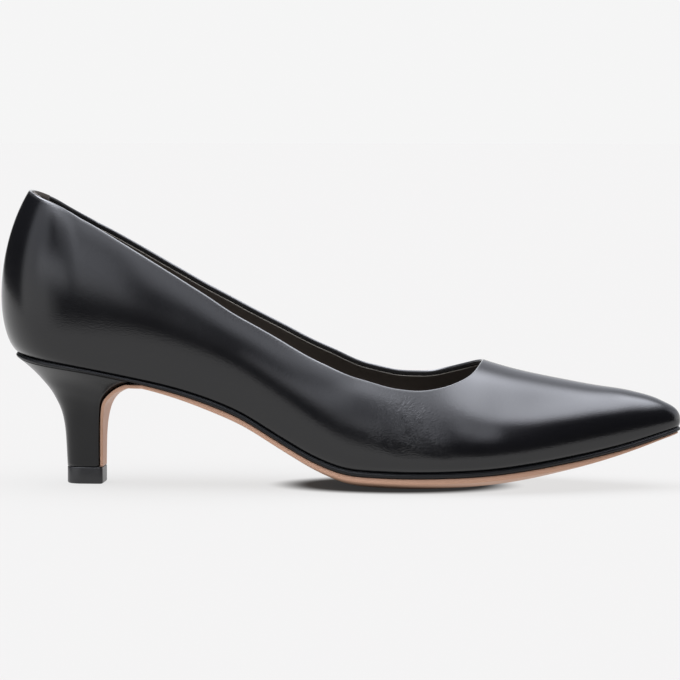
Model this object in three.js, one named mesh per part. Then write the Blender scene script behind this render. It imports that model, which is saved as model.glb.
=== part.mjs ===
// Pointed court shoe with a low curved heel, right foot, standing empty on the floor.
// Millimetres. The toe points along +X, the outer side of the foot faces -Y, +Z is up.
import * as THREE from "three";

// Driving sizes of the whole shoe
const SHOE_LENGTH = 264;
const BALL_WIDTH = 76;
const SEAT_HEIGHT = 51.5;
const COUNTER_HEIGHT = 63;
const TOE_HEIGHT = 23.6;
const BALL_EDGE_HEIGHT = 8;

// Driving sizes of the pieces
const WALL = 1.6;
const FOLD_WIDTH = 3;
const FOLD_STEP = 0.5;
const RIM_ROUND = 0.35;
const WELT_THICKNESS = 1.6;
const WELT_REACH = 0.9;
const SOLE_THICKNESS = 2.1;
const SOLE_INSET = 0.1;
const INSOLE_THICKNESS = 2;
const GRIP_THICKNESS = 0.9;
const GRIP_RISE = 0.7;
const TOP_PIECE_HEIGHT = 6.5;
const TIP_LENGTH = 13.2;
const TIP_WIDTH = 13;
const BREAST_FLAP_THICKNESS = 1.1;
const CLEARANCE = 0.3;

// Places along the feather line, the edge where the upper meets the sole, from the heel back
const FEATHER_LENGTH = SHOE_LENGTH * 0.974;
const FEATHER_BACK = -SHOE_LENGTH * 0.4795;
const HEEL_CENTRE = 0.1087;
const THROAT = 0.7055;
const TIP_SWAY = SHOE_LENGTH * 0.0114;

// Outline and height of the feather line. Widths are shares of the ball width, rise is the
// share of the climb from ball to seat, spring the share of the climb from ball to toe, dish
// the depth of the middle below the edge as a share of the ball width and welt the share of
// the full welt thickness.
const FEATHER = [
  { along: 0.0, outer: 0.0, inner: 0.0, rise: 1.0, spring: 0.0, dish: 0.0, welt: 1.0 },
  { along: 0.03, outer: 0.241, inner: 0.241, rise: 0.968, spring: 0.0, dish: 0.0105, welt: 0.92 },
  { along: 0.058, outer: 0.303, inner: 0.303, rise: 0.94, spring: 0.0, dish: 0.0145, welt: 0.8 },
  { along: 0.1087, outer: 0.342, inner: 0.342, rise: 0.89, spring: 0.0, dish: 0.0171, welt: 0.55 },
  { along: 0.175, outer: 0.346, inner: 0.334, rise: 0.813, spring: 0.0, dish: 0.0171, welt: 0.5 },
  { along: 0.25, outer: 0.34, inner: 0.305, rise: 0.715, spring: 0.0, dish: 0.0237, welt: 0.75 },
  { along: 0.34, outer: 0.337, inner: 0.271, rise: 0.53, spring: 0.0, dish: 0.0342, welt: 0.95 },
  { along: 0.41, outer: 0.352, inner: 0.268, rise: 0.288, spring: 0.0, dish: 0.0395, welt: 0.95 },
  { along: 0.47, outer: 0.378, inner: 0.295, rise: 0.098, spring: 0.0, dish: 0.0474, welt: 0.95 },
  { along: 0.52, outer: 0.404, inner: 0.329, rise: 0.012, spring: 0.0, dish: 0.0553, welt: 0.95 },
  { along: 0.6, outer: 0.441, inner: 0.402, rise: 0.0, spring: 0.0, dish: 0.0605, welt: 0.95 },
  { along: 0.66, outer: 0.453, inner: 0.447, rise: 0.0, spring: 0.025, dish: 0.0592, welt: 0.95 },
  { along: 0.72, outer: 0.437, inner: 0.453, rise: 0.0, spring: 0.08, dish: 0.0526, welt: 0.95 },
  { along: 0.78, outer: 0.392, inner: 0.411, rise: 0.0, spring: 0.2, dish: 0.0434, welt: 0.95 },
  { along: 0.84, outer: 0.321, inner: 0.336, rise: 0.0, spring: 0.36, dish: 0.0276, welt: 0.95 },
  { along: 0.9, outer: 0.231, inner: 0.24, rise: 0.0, spring: 0.55, dish: 0.0158, welt: 0.92 },
  { along: 0.94, outer: 0.166, inner: 0.17, rise: 0.0, spring: 0.71, dish: 0.0092, welt: 0.88 },
  { along: 0.975, outer: 0.103, inner: 0.103, rise: 0.0, spring: 0.885, dish: 0.0039, welt: 0.8 },
  { along: 1.0, outer: 0.0, inner: 0.0, rise: 0.0, spring: 1.0, dish: 0.0, welt: 0.75 },
];

// How far the upper swells past the feather line on each side, as shares of the ball width,
// how high above the line it is widest, as a share of the counter height, and how square its
// arch is.
const SWELL = [
  { along: 0.0, outer: 0.0868, inner: 0.0868, height: 0.3492, arch: 1.9 },
  { along: 0.032, outer: 0.0756, inner: 0.0756, height: 0.275, arch: 1.915 },
  { along: 0.06, outer: 0.0658, inner: 0.0658, height: 0.212, arch: 1.93 },
  { along: 0.11, outer: 0.0474, inner: 0.0474, height: 0.23, arch: 1.97 },
  { along: 0.2, outer: 0.0421, inner: 0.05, height: 0.27, arch: 2.0 },
  { along: 0.34, outer: 0.0447, inner: 0.0658, height: 0.254, arch: 2.0 },
  { along: 0.43, outer: 0.0474, inner: 0.0711, height: 0.228, arch: 2.0 },
  { along: 0.52, outer: 0.0474, inner: 0.0658, height: 0.15, arch: 1.95 },
  { along: 0.6, outer: 0.0474, inner: 0.0553, height: 0.095, arch: 1.88 },
  { along: 0.66, outer: 0.0447, inner: 0.05, height: 0.082, arch: 1.82 },
  { along: 0.72, outer: 0.0421, inner: 0.0447, height: 0.08, arch: 1.8 },
  { along: 0.78, outer: 0.0395, inner: 0.0395, height: 0.08, arch: 1.85 },
  { along: 0.84, outer: 0.0342, inner: 0.0342, height: 0.078, arch: 1.95 },
  { along: 0.9, outer: 0.0263, inner: 0.0263, height: 0.07, arch: 2.05 },
  { along: 0.95, outer: 0.0197, inner: 0.0197, height: 0.055, arch: 2.1 },
  { along: 1.0, outer: 0.0105, inner: 0.0105, height: 0.034, arch: 2.1 },
];

// Height of the collar above the feather line, and of the crest where the arch of the upper
// would close over the foot, all as shares of the counter height.
const COLLAR = [
  { along: 0.0, outer: 1.0, inner: 1.0, crest: 1.267 },
  { along: 0.03, outer: 0.976, inner: 0.965, crest: 1.25 },
  { along: 0.058, outer: 0.957, inner: 0.921, crest: 1.227 },
  { along: 0.1087, outer: 0.907, inner: 0.865, crest: 1.158 },
  { along: 0.17, outer: 0.813, inner: 0.777, crest: 1.078 },
  { along: 0.23, outer: 0.717, inner: 0.688, crest: 0.981 },
  { along: 0.29, outer: 0.637, inner: 0.623, crest: 0.895 },
  { along: 0.35, outer: 0.582, inner: 0.598, crest: 0.845 },
  { along: 0.41, outer: 0.594, inner: 0.622, crest: 0.842 },
  { along: 0.47, outer: 0.592, inner: 0.638, crest: 0.845 },
  { along: 0.53, outer: 0.556, inner: 0.595, crest: 0.835 },
  { along: 0.585, outer: 0.506, inner: 0.555, crest: 0.81 },
  { along: 0.62, outer: 0.494, inner: 0.553, crest: 0.78 },
  { along: 0.65, outer: 0.508, inner: 0.579, crest: 0.742 },
  { along: 0.676, outer: 0.54, inner: 0.608, crest: 0.695 },
  { along: 0.692, outer: 0.572, inner: 0.627, crest: 0.665 },
  { along: 0.701, outer: 0.605, inner: 0.637, crest: 0.648 },
  { along: 0.7055, outer: 0.64, inner: 0.64, crest: 0.64 },
];

// Height of the ridge of the vamp above the feather line, as shares of the counter height,
// and how far it lags behind the feather line where it turns down to the toe, as a share of
// the shoe length.
const RIDGE = [
  { along: 0.7055, height: 0.64, lag: 0.0 },
  { along: 0.735, height: 0.5925, lag: 0.0 },
  { along: 0.765, height: 0.546, lag: 0.0 },
  { along: 0.82, height: 0.466, lag: 0.0004 },
  { along: 0.88, height: 0.378, lag: 0.0023 },
  { along: 0.92, height: 0.322, lag: 0.0053 },
  { along: 0.96, height: 0.246, lag: 0.0121 },
  { along: 0.985, height: 0.194, lag: 0.0197 },
  { along: 1.0, height: 0.163, lag: 0.0273 },
];

// Flare of the heel from its tip to the seat. Level is the share of the way up, the other
// columns are shares of the growth at the back, at the sides and at the breast.
const FLARE = [
  { level: 0.0, back: 0.0, side: 0.0, breast: 0.0 },
  { level: 0.32, back: 0.04, side: 0.035, breast: 0.008 },
  { level: 0.47, back: 0.095, side: 0.085, breast: 0.02 },
  { level: 0.55, back: 0.156, side: 0.14, breast: 0.035 },
  { level: 0.62, back: 0.235, side: 0.21, breast: 0.055 },
  { level: 0.7, back: 0.335, side: 0.31, breast: 0.09 },
  { level: 0.77, back: 0.465, side: 0.43, breast: 0.15 },
  { level: 0.84, back: 0.6, side: 0.56, breast: 0.28 },
  { level: 0.91, back: 0.76, side: 0.73, breast: 0.49 },
  { level: 0.965, back: 0.9, side: 0.89, breast: 0.69 },
  { level: 1.0, back: 1.0, side: 1.0, breast: 1.0 },
];
const SEAT_FRONT = 0.183;
const TIP_CENTRE = 0.0995;
const SEAT_INSET = 0.3;

// Monotone cubic curve through the points of one column
function curve(rows, place, column) {
  const xs = rows.map((row) => row[place]);
  const ys = rows.map((row) => row[column]);
  const last = xs.length - 1;
  const slopes = xs.slice(0, last).map((x, i) => (ys[i + 1] - ys[i]) / (xs[i + 1] - x));
  const bends = xs.map((_, i) => {
    if (i === 0) return slopes[0];
    if (i === last) return slopes[last - 1];
    const product = slopes[i - 1] * slopes[i];
    return product <= 0 ? 0 : (2 * product) / (slopes[i - 1] + slopes[i]);
  });
  return (x) => {
    if (x <= xs[0]) return ys[0];
    if (x >= xs[last]) return ys[last];
    let i = 0;
    while (x > xs[i + 1]) i += 1;
    const step = xs[i + 1] - xs[i];
    const t = (x - xs[i]) / step;
    const rest = 1 - t;
    const start = rest * rest * (1 + 2 * t) * ys[i] + t * rest * rest * step * bends[i];
    const end = t * t * (3 - 2 * t) * ys[i + 1] - t * t * rest * step * bends[i + 1];
    return start + end;
  };
}

// The same for a width that closes in a round end, where the square of the width is smooth
function roundCurve(rows, place, column) {
  const squares = rows.map((row) => ({ at: row[place], value: row[column] ** 2 }));
  const square = curve(squares, "at", "value");
  return (x) => Math.sqrt(Math.max(0, square(x)));
}

const lerp = (a, b, t) => a + (b - a) * t;
const smooth = (t) => t * t * (3 - 2 * t);
const clamp = (t, low, high) => Math.min(high, Math.max(low, t));

const feather = {
  outer: roundCurve(FEATHER, "along", "outer"),
  inner: roundCurve(FEATHER, "along", "inner"),
  rise: curve(FEATHER, "along", "rise"),
  spring: curve(FEATHER, "along", "spring"),
  dish: curve(FEATHER, "along", "dish"),
  welt: curve(FEATHER, "along", "welt"),
};
const swell = {
  outer: curve(SWELL, "along", "outer"),
  inner: curve(SWELL, "along", "inner"),
  height: curve(SWELL, "along", "height"),
  arch: curve(SWELL, "along", "arch"),
};
const collar = {
  outer: curve(COLLAR, "along", "outer"),
  inner: curve(COLLAR, "along", "inner"),
  crest: curve(COLLAR, "along", "crest"),
};
const ridge = {
  height: curve(RIDGE, "along", "height"),
  lag: curve(RIDGE, "along", "lag"),
};
const flare = {
  back: curve(FLARE, "level", "back"),
  side: curve(FLARE, "level", "side"),
  breast: curve(FLARE, "level", "breast"),
};

// A closed surface that grows by quads and caps, with its corners welded
class Shell {
  constructor() {
    this.corners = [];
    this.index = new Map();
    this.triangles = [];
  }

  corner(point) {
    const key = point.map((value) => Math.round(value * 5000)).join(" ");
    if (!this.index.has(key)) {
      this.index.set(key, this.corners.length);
      this.corners.push(point);
    }
    return this.index.get(key);
  }

  triangle(a, b, c) {
    const ids = [a, b, c].map((point) => this.corner(point));
    if (new Set(ids).size === 3) this.triangles.push(ids);
  }

  quad(a, b, c, d) {
    this.triangle(a, b, c);
    this.triangle(a, c, d);
  }

  // Rows of points; flipped turns the face the other way
  grid(rows, flipped = false) {
    for (let i = 0; i + 1 < rows.length; i += 1) {
      for (let j = 0; j + 1 < rows[i].length; j += 1) {
        const around = [rows[i][j], rows[i + 1][j], rows[i + 1][j + 1], rows[i][j + 1]];
        this.quad(...(flipped ? around.reverse() : around));
      }
    }
  }

  volume() {
    return this.triangles.reduce((sum, ids) => {
      const [a, b, c] = ids.map((id) => new THREE.Vector3(...this.corners[id]));
      return sum + a.dot(b.cross(c)) / 6;
    }, 0);
  }

  mesh(name, colour, roughness) {
    const inward = this.volume() < 0;
    const faces = this.triangles.map((ids) => (inward ? [...ids].reverse() : ids));
    const geometry = new THREE.BufferGeometry();
    geometry.setAttribute("position", new THREE.Float32BufferAttribute(this.corners.flat(), 3));
    geometry.setIndex(faces.flat());
    geometry.computeVertexNormals();
    const material = new THREE.MeshStandardMaterial({ color: colour, roughness, metalness: 0 });
    const mesh = new THREE.Mesh(geometry, material);
    mesh.name = name;
    return mesh;
  }
}

const placeOf = (along) => FEATHER_BACK + FEATHER_LENGTH * along;
const swayOf = (along) => TIP_SWAY * smooth(clamp((along - 0.6) / 0.4, 0, 1));

// Height of the feather line at the edge
function edgeHeight(along) {
  const back = (SEAT_HEIGHT - BALL_EDGE_HEIGHT) * feather.rise(along);
  const front = (TOE_HEIGHT - BALL_EDGE_HEIGHT) * feather.spring(along);
  return BALL_EDGE_HEIGHT + back + front;
}

// Height of the bed, the surface under the upper and the insole, at a place across the foot
function bedHeight(along, y) {
  const half = BALL_WIDTH * (y < swayOf(along) ? feather.outer(along) : feather.inner(along));
  const across = half > 0.01 ? clamp(Math.abs(y - swayOf(along)) / half, 0, 1) : 1;
  return edgeHeight(along) - BALL_WIDTH * feather.dish(along) * (1 - across * across);
}

// Stations along the foot: close together round the heel, at the throat and round the toe
function stationShares() {
  const shares = [];
  const heelSteps = 9;
  for (let i = 0; i < heelSteps; i += 1) {
    shares.push(HEEL_CENTRE * (1 - Math.cos((Math.PI / 2) * (i / heelSteps))));
  }
  const bodySteps = 15;
  for (let i = 0; i < bodySteps; i += 1) {
    shares.push(lerp(HEEL_CENTRE, 0.645, i / bodySteps));
  }
  const throatSteps = 6;
  for (let i = 0; i < throatSteps; i += 1) {
    shares.push(lerp(0.645, THROAT, Math.sin((Math.PI / 2) * (i / throatSteps))));
  }
  const vampSteps = 8;
  for (let i = 0; i < vampSteps; i += 1) {
    shares.push(lerp(THROAT, 0.94, i / vampSteps));
  }
  const noseSteps = 6;
  for (let i = 0; i <= noseSteps; i += 1) {
    shares.push(lerp(0.94, 1, Math.sin((Math.PI / 2) * (i / noseSteps))));
  }
  return shares;
}

// Points of the feather line on both sides with their outward directions in plan
function layStations() {
  const stations = stationShares().map((along) => {
    const x = placeOf(along);
    const sway = swayOf(along);
    return {
      along,
      outer: { x, y: sway - BALL_WIDTH * feather.outer(along) },
      inner: { x, y: sway + BALL_WIDTH * feather.inner(along) },
    };
  });
  const last = stations.length - 1;
  for (const side of ["outer", "inner"]) {
    const other = side === "outer" ? "inner" : "outer";
    const turn = side === "outer" ? 1 : -1;
    stations.forEach((station, i) => {
      const before = i > 0 ? stations[i - 1][side] : stations[1][other];
      const after = i < last ? stations[i + 1][side] : stations[last - 1][other];
      const along = new THREE.Vector2(after.x - before.x, after.y - before.y).normalize();
      station[side].out = { x: turn * along.y, y: -turn * along.x };
    });
  }
  stations[0].outer.out = { x: -1, y: 0 };
  stations[0].inner.out = { x: -1, y: 0 };
  stations[last].outer.out = { x: 1, y: 0 };
  stations[last].inner.out = { x: 1, y: 0 };
  return stations;
}

const STATIONS = layStations();
const TIP = STATIONS.length - 1;
const THROAT_STATION = STATIONS.findIndex((station) => station.along >= THROAT - 1e-6);

// Place of a station's outline point moved outward by a reach
function outline(station, side, reach) {
  const point = station[side];
  return { x: point.x + point.out.x * reach, y: point.y + point.out.y * reach };
}

// Even steps along a polyline of plane points; stops are shares of its length
function resample(points, stops) {
  const lengths = [0];
  for (let i = 1; i < points.length; i += 1) {
    const step = points[i].map((value, k) => value - points[i - 1][k]);
    lengths.push(lengths[i - 1] + Math.hypot(...step));
  }
  const total = lengths[lengths.length - 1];
  return stops(total).map((stop) => {
    const at = clamp(stop, 0, 1) * total;
    let i = 0;
    while (i < points.length - 2 && lengths[i + 1] < at) i += 1;
    const t = clamp((at - lengths[i]) / Math.max(1e-9, lengths[i + 1] - lengths[i]), 0, 1);
    return points[i].map((value, k) => lerp(value, points[i + 1][k], t));
  });
}

// Place of the ridge of the vamp along the shoe
const ridgePlace = (along) => placeOf(along) - SHOE_LENGTH * ridge.lag(along);

// How wide the opening stays where the collar cuts the arch, as a share of the half width at
// the swell
function openShare(along, side) {
  if (along >= THROAT - 1e-6) return 0;
  const wide = swell.height(along);
  const up = clamp((collar[side](along) - wide) / (collar.crest(along) - wide), 0, 1);
  const arch = swell.arch(along);
  return (1 - up ** arch) ** (1 / arch);
}

// Where the upper is widest, where its arch is aimed and where it ends, at one station
function ribFrame(station, side) {
  const { along } = station;
  const onVamp = along >= THROAT - 1e-6;
  const edge = edgeHeight(along);
  const wide = outline(station, side, BALL_WIDTH * swell[side](along));
  const aimX = onVamp ? ridgePlace(along) : placeOf(Math.max(along, HEEL_CENTRE));
  const aim = { x: aimX, y: swayOf(along) };
  const open = openShare(along, side);
  const share = onVamp ? ridge.height(along) : collar[side](along);
  const end = {
    x: lerp(aim.x, wide.x, open),
    y: lerp(aim.y, wide.y, open),
    z: edge + COUNTER_HEIGHT * share,
  };
  const wideZ = edge + COUNTER_HEIGHT * swell.height(along);
  return { along, edge, wide, aim, open, end, wideZ, onVamp };
}

// Slope of the ridge of the vamp along the foot
function ridgeSlope(along) {
  const low = Math.min(along, 1) - 0.01;
  const high = Math.min(along + 0.01, 1);
  const top = (share) => edgeHeight(share) + COUNTER_HEIGHT * ridge.height(share);
  return (top(high) - top(low)) / (ridgePlace(high) - ridgePlace(low));
}

const SECTION_STEPS = 28;

// Section of the upper from the feather line over the swell to the collar or the ridge.
// The inset moves it inward for the inside face.
function section(station, side, inset) {
  const frame = ribFrame(station, side);
  const arch = swell.arch(station.along);
  const foot = outline(station, side, -inset);
  const wide = {
    x: frame.wide.x - station[side].out.x * inset,
    y: frame.wide.y - station[side].out.y * inset,
  };
  const reach = Math.hypot(frame.wide.x - frame.aim.x, frame.wide.y - frame.aim.y);
  const riseFull = (1 - frame.open ** arch) ** (1 / arch);
  const crown = (frame.end.z - frame.wideZ) / riseFull;
  const slope = frame.open > 0 ? (frame.open / riseFull) ** (arch - 1) * (crown / reach) : 0;
  const lean = Math.atan(slope);
  const endZ = frame.end.z - inset * Math.cos(lean);
  const endReach = frame.open * reach - inset * Math.sin(lean);
  const innerReach = Math.hypot(wide.x - frame.aim.x, wide.y - frame.aim.y);
  const open = clamp(endReach / innerReach, 0, 0.98);
  const rise = (endZ - frame.wideZ) / (1 - open ** arch) ** (1 / arch);
  const points = [];
  for (let i = 0; i < SECTION_STEPS; i += 1) {
    const angle = (Math.PI / 2) * (0.12 + 0.88 * (i / SECTION_STEPS));
    const grow = Math.sin(angle);
    const lift = 1 - Math.cos(angle);
    const base = 1 - Math.cos((Math.PI / 2) * 0.12);
    const start = Math.sin((Math.PI / 2) * 0.12);
    const share = (grow - start) / (1 - start);
    points.push([
      lerp(foot.x, wide.x, share),
      lerp(foot.y, wide.y, share),
      lerp(frame.edge, frame.wideZ, (lift - base) / (1 - base)),
    ]);
  }
  const forward = (frame.wide.x - frame.aim.x) / reach;
  const onRidge = smooth(clamp((station.along - THROAT) / 0.06, 0, 1));
  const tilt = onRidge > 0 ? onRidge * ridgeSlope(station.along) * forward * reach : 0;
  const bottom = points.length;
  const stop = Math.acos(clamp(open ** (arch / 2), 0, 1));
  for (let i = 0; i <= SECTION_STEPS; i += 1) {
    const angle = stop * (i / SECTION_STEPS);
    const near = i === SECTION_STEPS ? open : Math.cos(angle) ** (2 / arch);
    points.push([
      lerp(frame.aim.x, wide.x, near),
      lerp(frame.aim.y, wide.y, near),
      frame.wideZ + rise * Math.sin(angle) ** (2 / arch) + tilt * near * (1 - near),
    ]);
  }
  return { points, bottom, out: station[side].out, lean, onVamp: frame.onVamp };
}

const LOWER_STOPS = [0, 0.3, 0.62];
const UPPER_STOPS = [0, 0.14, 0.29, 0.45, 0.61, 0.77, 0.9];

// One rib of the upper: an outside and an inside row of points, the inside thicker at the fold
function rib(station, side) {
  const rows = [0, WALL].map((inset) => {
    const shape = section(station, side, inset);
    const lower = resample(shape.points.slice(0, shape.bottom + 1), () => LOWER_STOPS);
    const upper = resample(shape.points.slice(shape.bottom), (length) => {
      const fold = 1 - FOLD_WIDTH / length;
      const step = fold - 0.35 / length;
      return [...UPPER_STOPS.map((stop) => stop * step), step, fold, 1];
    });
    return { points: [...lower, ...upper], shape };
  });
  const inside = rows[1].points;
  const { shape } = rows[1];
  const thick = shape.onVamp && station.along > THROAT + 1e-6 ? 0 : FOLD_STEP;
  for (const column of [inside.length - 2, inside.length - 1]) {
    const ridgeEnd = shape.onVamp && column === inside.length - 1;
    const flat = ridgeEnd ? 0 : thick * Math.cos(Math.PI / 2 - shape.lean);
    const drop = thick * Math.cos(shape.lean);
    inside[column] = [
      inside[column][0] - shape.out.x * flat,
      inside[column][1] - shape.out.y * flat,
      inside[column][2] - drop,
    ];
  }
  return { outside: rows[0].points, inside };
}

// Ribs all round the shoe, from the toe along the outer side, round the heel and back
function ribsAround() {
  const outer = STATIONS.map((station) => rib(station, "outer"));
  const inner = STATIONS.map((station) => rib(station, "inner"));
  inner[0] = outer[0];
  inner[TIP] = outer[TIP];
  return [...outer.slice().reverse(), ...inner.slice(1)];
}

const RIBS = ribsAround();
const BACK_RIB = TIP;

// The upper is one hollow wall, open at the collar and underneath
function buildUpper() {
  const shell = new Shell();
  const outside = RIBS.map((one) => one.outside);
  const inside = RIBS.map((one) => one.inside);
  shell.grid(outside);
  shell.grid(inside, true);
  shell.grid(RIBS.map((one) => [one.inside[0], one.outside[0]]));
  const first = TIP - THROAT_STATION;
  const rim = RIBS.slice(first, RIBS.length - first).map((one) => {
    const top = one.outside[one.outside.length - 1];
    const under = one.inside[one.inside.length - 1];
    const middle = top.map((value, k) => (value + under[k]) / 2 + (k === 2 ? RIM_ROUND : 0));
    return [top, middle, under];
  });
  shell.grid(rim);
  return shell.mesh("upper", 0x2b2b2e, 0.38);
}

const ACROSS = [-1, -0.72, -0.38, 0, 0.38, 0.72, 1];

const shareOf = (x) => clamp((x - FEATHER_BACK) / FEATHER_LENGTH, 0, 1);

// Row of places across the foot between the two sides of an outline
function chord(station, reach) {
  const outer = outline(station, "outer", reach);
  const inner = outline(station, "inner", reach);
  return ACROSS.map((share) => {
    const t = (share + 1) / 2;
    const x = lerp(outer.x, inner.x, t);
    return { along: shareOf(x), x, y: lerp(outer.y, inner.y, t) };
  });
}

// Plate that follows the bed between a top and a bottom surface
function buildPlate(reach, top, bottom, name, colour, roughness) {
  const chords = STATIONS.map((station) => chord(station, reach));
  const above = chords.map((row) => row.map((p) => [p.x, p.y, top(p)]));
  const below = chords.map((row) => row.map((p) => [p.x, p.y, bottom(p)]));
  return closePlate(above, below).mesh(name, colour, roughness);
}

// Closes two matching grids of points into one solid
function closePlate(above, below) {
  const shell = new Shell();
  const last = above[0].length - 1;
  const end = above.length - 1;
  shell.grid(above);
  shell.grid(below, true);
  shell.grid(above.map((row, i) => [below[i][0], row[0]]));
  shell.grid(above.map((row, i) => [row[last], below[i][last]]));
  shell.grid([below[0], above[0]]);
  shell.grid([above[end], below[end]]);
  return shell;
}

const weltThickness = (along) => WELT_THICKNESS * feather.welt(along);
const bedAt = (p) => bedHeight(p.along, p.y);
const weltTop = (p) => bedAt(p) - CLEARANCE;
const weltBottom = (p) => bedAt(p) - CLEARANCE - weltThickness(p.along);
const soleTop = (p) => weltBottom(p) - CLEARANCE;

// The sole thins towards the toe and towards the heel
function soleThickness(along) {
  const toe = lerp(1, 0.35, smooth(clamp((along - 0.84) / 0.16, 0, 1)));
  const waist = lerp(0.68, 1, smooth(clamp((along - 0.2) / 0.12, 0, 1)));
  return SOLE_THICKNESS * toe * waist;
}

const heelBase = TOP_PIECE_HEIGHT + CLEARANCE;
const tipX = placeOf(TIP_CENTRE);
const seatX = placeOf(HEEL_CENTRE);
const seatBackX = FEATHER_BACK + SEAT_INSET;
const seatFrontX = placeOf(SEAT_FRONT);
const seatHalf = BALL_WIDTH * feather.outer(HEEL_CENTRE) - SEAT_INSET;

// Size of the heel's section at a level
function heelSection(level) {
  return {
    centre: lerp(tipX, seatX, flare.side(level)),
    back: lerp(tipX - TIP_LENGTH / 2, seatBackX, flare.back(level)),
    front: lerp(tipX + TIP_LENGTH / 2, seatFrontX, flare.breast(level)),
    half: lerp(TIP_WIDTH / 2, seatHalf, flare.side(level)),
  };
}

const HEEL_AROUND = 28;

// Plan shape of a heel section: round behind, nearly straight across the breast
function heelPlan(size, k, shrink = 1) {
  const angle = (2 * Math.PI * k) / HEEL_AROUND;
  const cosine = Math.cos(angle);
  const sine = Math.sin(angle);
  const square = cosine > 0 ? 6 : 2.1;
  const forward = Math.sign(cosine) * Math.abs(cosine) ** (2 / square);
  const across = Math.sign(sine) * Math.abs(sine) ** (2 / square);
  const length = cosine > 0 ? size.front - size.centre : size.centre - size.back;
  return { x: size.centre + shrink * length * forward, y: shrink * size.half * across };
}

// Seat of the heel under the welt
function seatHeight(x, y) {
  return soleTop({ along: shareOf(x), y });
}

function heelPoint(level, k) {
  const plan = heelPlan(heelSection(level), k);
  const seat = heelPlan(heelSection(1), k);
  return [plan.x, plan.y, lerp(heelBase, seatHeight(seat.x, seat.y), level)];
}

function buildHeel() {
  const shell = new Shell();
  const levels = [0, 0.2, 0.36, 0.48, 0.57, 0.65, 0.72, 0.79, 0.85, 0.91, 0.96, 1];
  const around = Array.from({ length: HEEL_AROUND + 1 }, (_, k) => k % HEEL_AROUND);
  shell.grid(levels.map((level) => around.map((k) => heelPoint(level, k))));
  const top = heelSection(1);
  const caps = [1, 0.8, 0.55, 0.28, 0].map((shrink) =>
    around.map((k) => {
      const plan = heelPlan(top, k, shrink);
      return [plan.x, plan.y, seatHeight(plan.x, plan.y)];
    }),
  );
  shell.grid(caps);
  const base = heelSection(0);
  const bottom = [0, 1].map((shrink) =>
    around.map((k) => {
      const plan = heelPlan(base, k, shrink);
      return [plan.x, plan.y, heelBase];
    }),
  );
  shell.grid(bottom);
  return shell.mesh("heel", 0x2b2b2e, 0.38);
}

// The top piece is the small lift that the heel stands on, level with the breast flap in front
function buildTopPiece() {
  const shell = new Shell();
  const size = heelSection(0);
  size.front += CLEARANCE + BREAST_FLAP_THICKNESS;
  const around = Array.from({ length: HEEL_AROUND + 1 }, (_, k) => k % HEEL_AROUND);
  const ring = (shrink, z) =>
    around.map((k) => {
      const plan = heelPlan(size, k, shrink);
      return [plan.x, plan.y, z];
    });
  shell.grid([ring(0, 0), ring(0.95, 0), ring(1, 0.45)]);
  shell.grid([ring(1, 0.45), ring(1, TOP_PIECE_HEIGHT), ring(0, TOP_PIECE_HEIGHT)]);
  return shell.mesh("top_piece", 0x1d1d1f, 0.6);
}

const SOLE_START = 0.197;
const FLAP_LEVELS = [0.98, 0.965, 0.94, 0.91, 0.88, 0.85, 0.81, 0.77, 0.72, 0.65, 0.55, 0.4, 0.2, 0];

// Middle line of the breast where the flap of the sole lies on it
function breastPoint(level) {
  const [x, , z] = heelPoint(level, 0);
  return { x, z };
}

// The outsole runs from the toe to the heel and down the breast to the top piece
function buildOutsole() {
  const above = [];
  const below = [];
  for (const level of FLAP_LEVELS.slice().reverse()) {
    const low = breastPoint(Math.max(0, level - 0.01));
    const high = breastPoint(Math.min(1, level + 0.01));
    const here = breastPoint(level);
    const way = new THREE.Vector2(high.x - low.x, high.z - low.z).normalize();
    const normal = { x: way.y, z: -way.x };
    const thick = lerp(BREAST_FLAP_THICKNESS, SOLE_THICKNESS * 0.66, smooth(level ** 3));
    const half = heelSection(level).half * lerp(0.86, 0.97, smooth(level ** 2));
    const row = (gap) => ACROSS.map((share) => [here.x + normal.x * gap, half * share, here.z + normal.z * gap]);
    above.push(row(CLEARANCE));
    below.push(row(CLEARANCE + thick));
  }
  for (const station of STATIONS.filter((one) => one.along > SOLE_START)) {
    const places = chord(station, -SOLE_INSET);
    above.push(places.map((p) => [p.x, p.y, soleTop(p)]));
    below.push(places.map((p) => [p.x, p.y, Math.max(0, soleTop(p) - soleThickness(p.along))]));
  }
  return closePlate(above, below).mesh("outsole", 0xb08a70, 0.55);
}

// Point off the inside of a rib, moved square to the wall and then up along it
function offWall(row, column, gap, lift) {
  const low = new THREE.Vector3(...row[Math.max(0, column - 1)]);
  const high = new THREE.Vector3(...row[Math.min(row.length - 1, column + 1)]);
  const way = high.sub(low).normalize();
  const here = new THREE.Vector3(...row[column]);
  const inward = new THREE.Vector3(placeOf(HEEL_CENTRE) - here.x, -here.y, 0).normalize();
  const square = inward.addScaledVector(way, -inward.dot(way)).normalize();
  return here.addScaledVector(square, gap).addScaledVector(way, lift).toArray();
}

// The heel grip lies inside the back of the upper and stands just above the collar
function buildHeelGrip() {
  const reach = 4;
  const ribs = RIBS.slice(BACK_RIB - reach, BACK_RIB + reach + 1);
  const first = 4;
  const layer = (gap) =>
    ribs.map(({ inside }) =>
      inside.slice(first).map((_, j) => {
        const column = first + j;
        const top = inside.length - 1;
        const fold = column >= top - 1 ? 0 : FOLD_STEP;
        return offWall(inside, column, gap + fold, column === top ? GRIP_RISE : 0);
      }),
    );
  const shell = closePlate(layer(CLEARANCE), layer(CLEARANCE + GRIP_THICKNESS));
  return shell.mesh("heel_grip", 0x2e2a24, 0.7);
}

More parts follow.
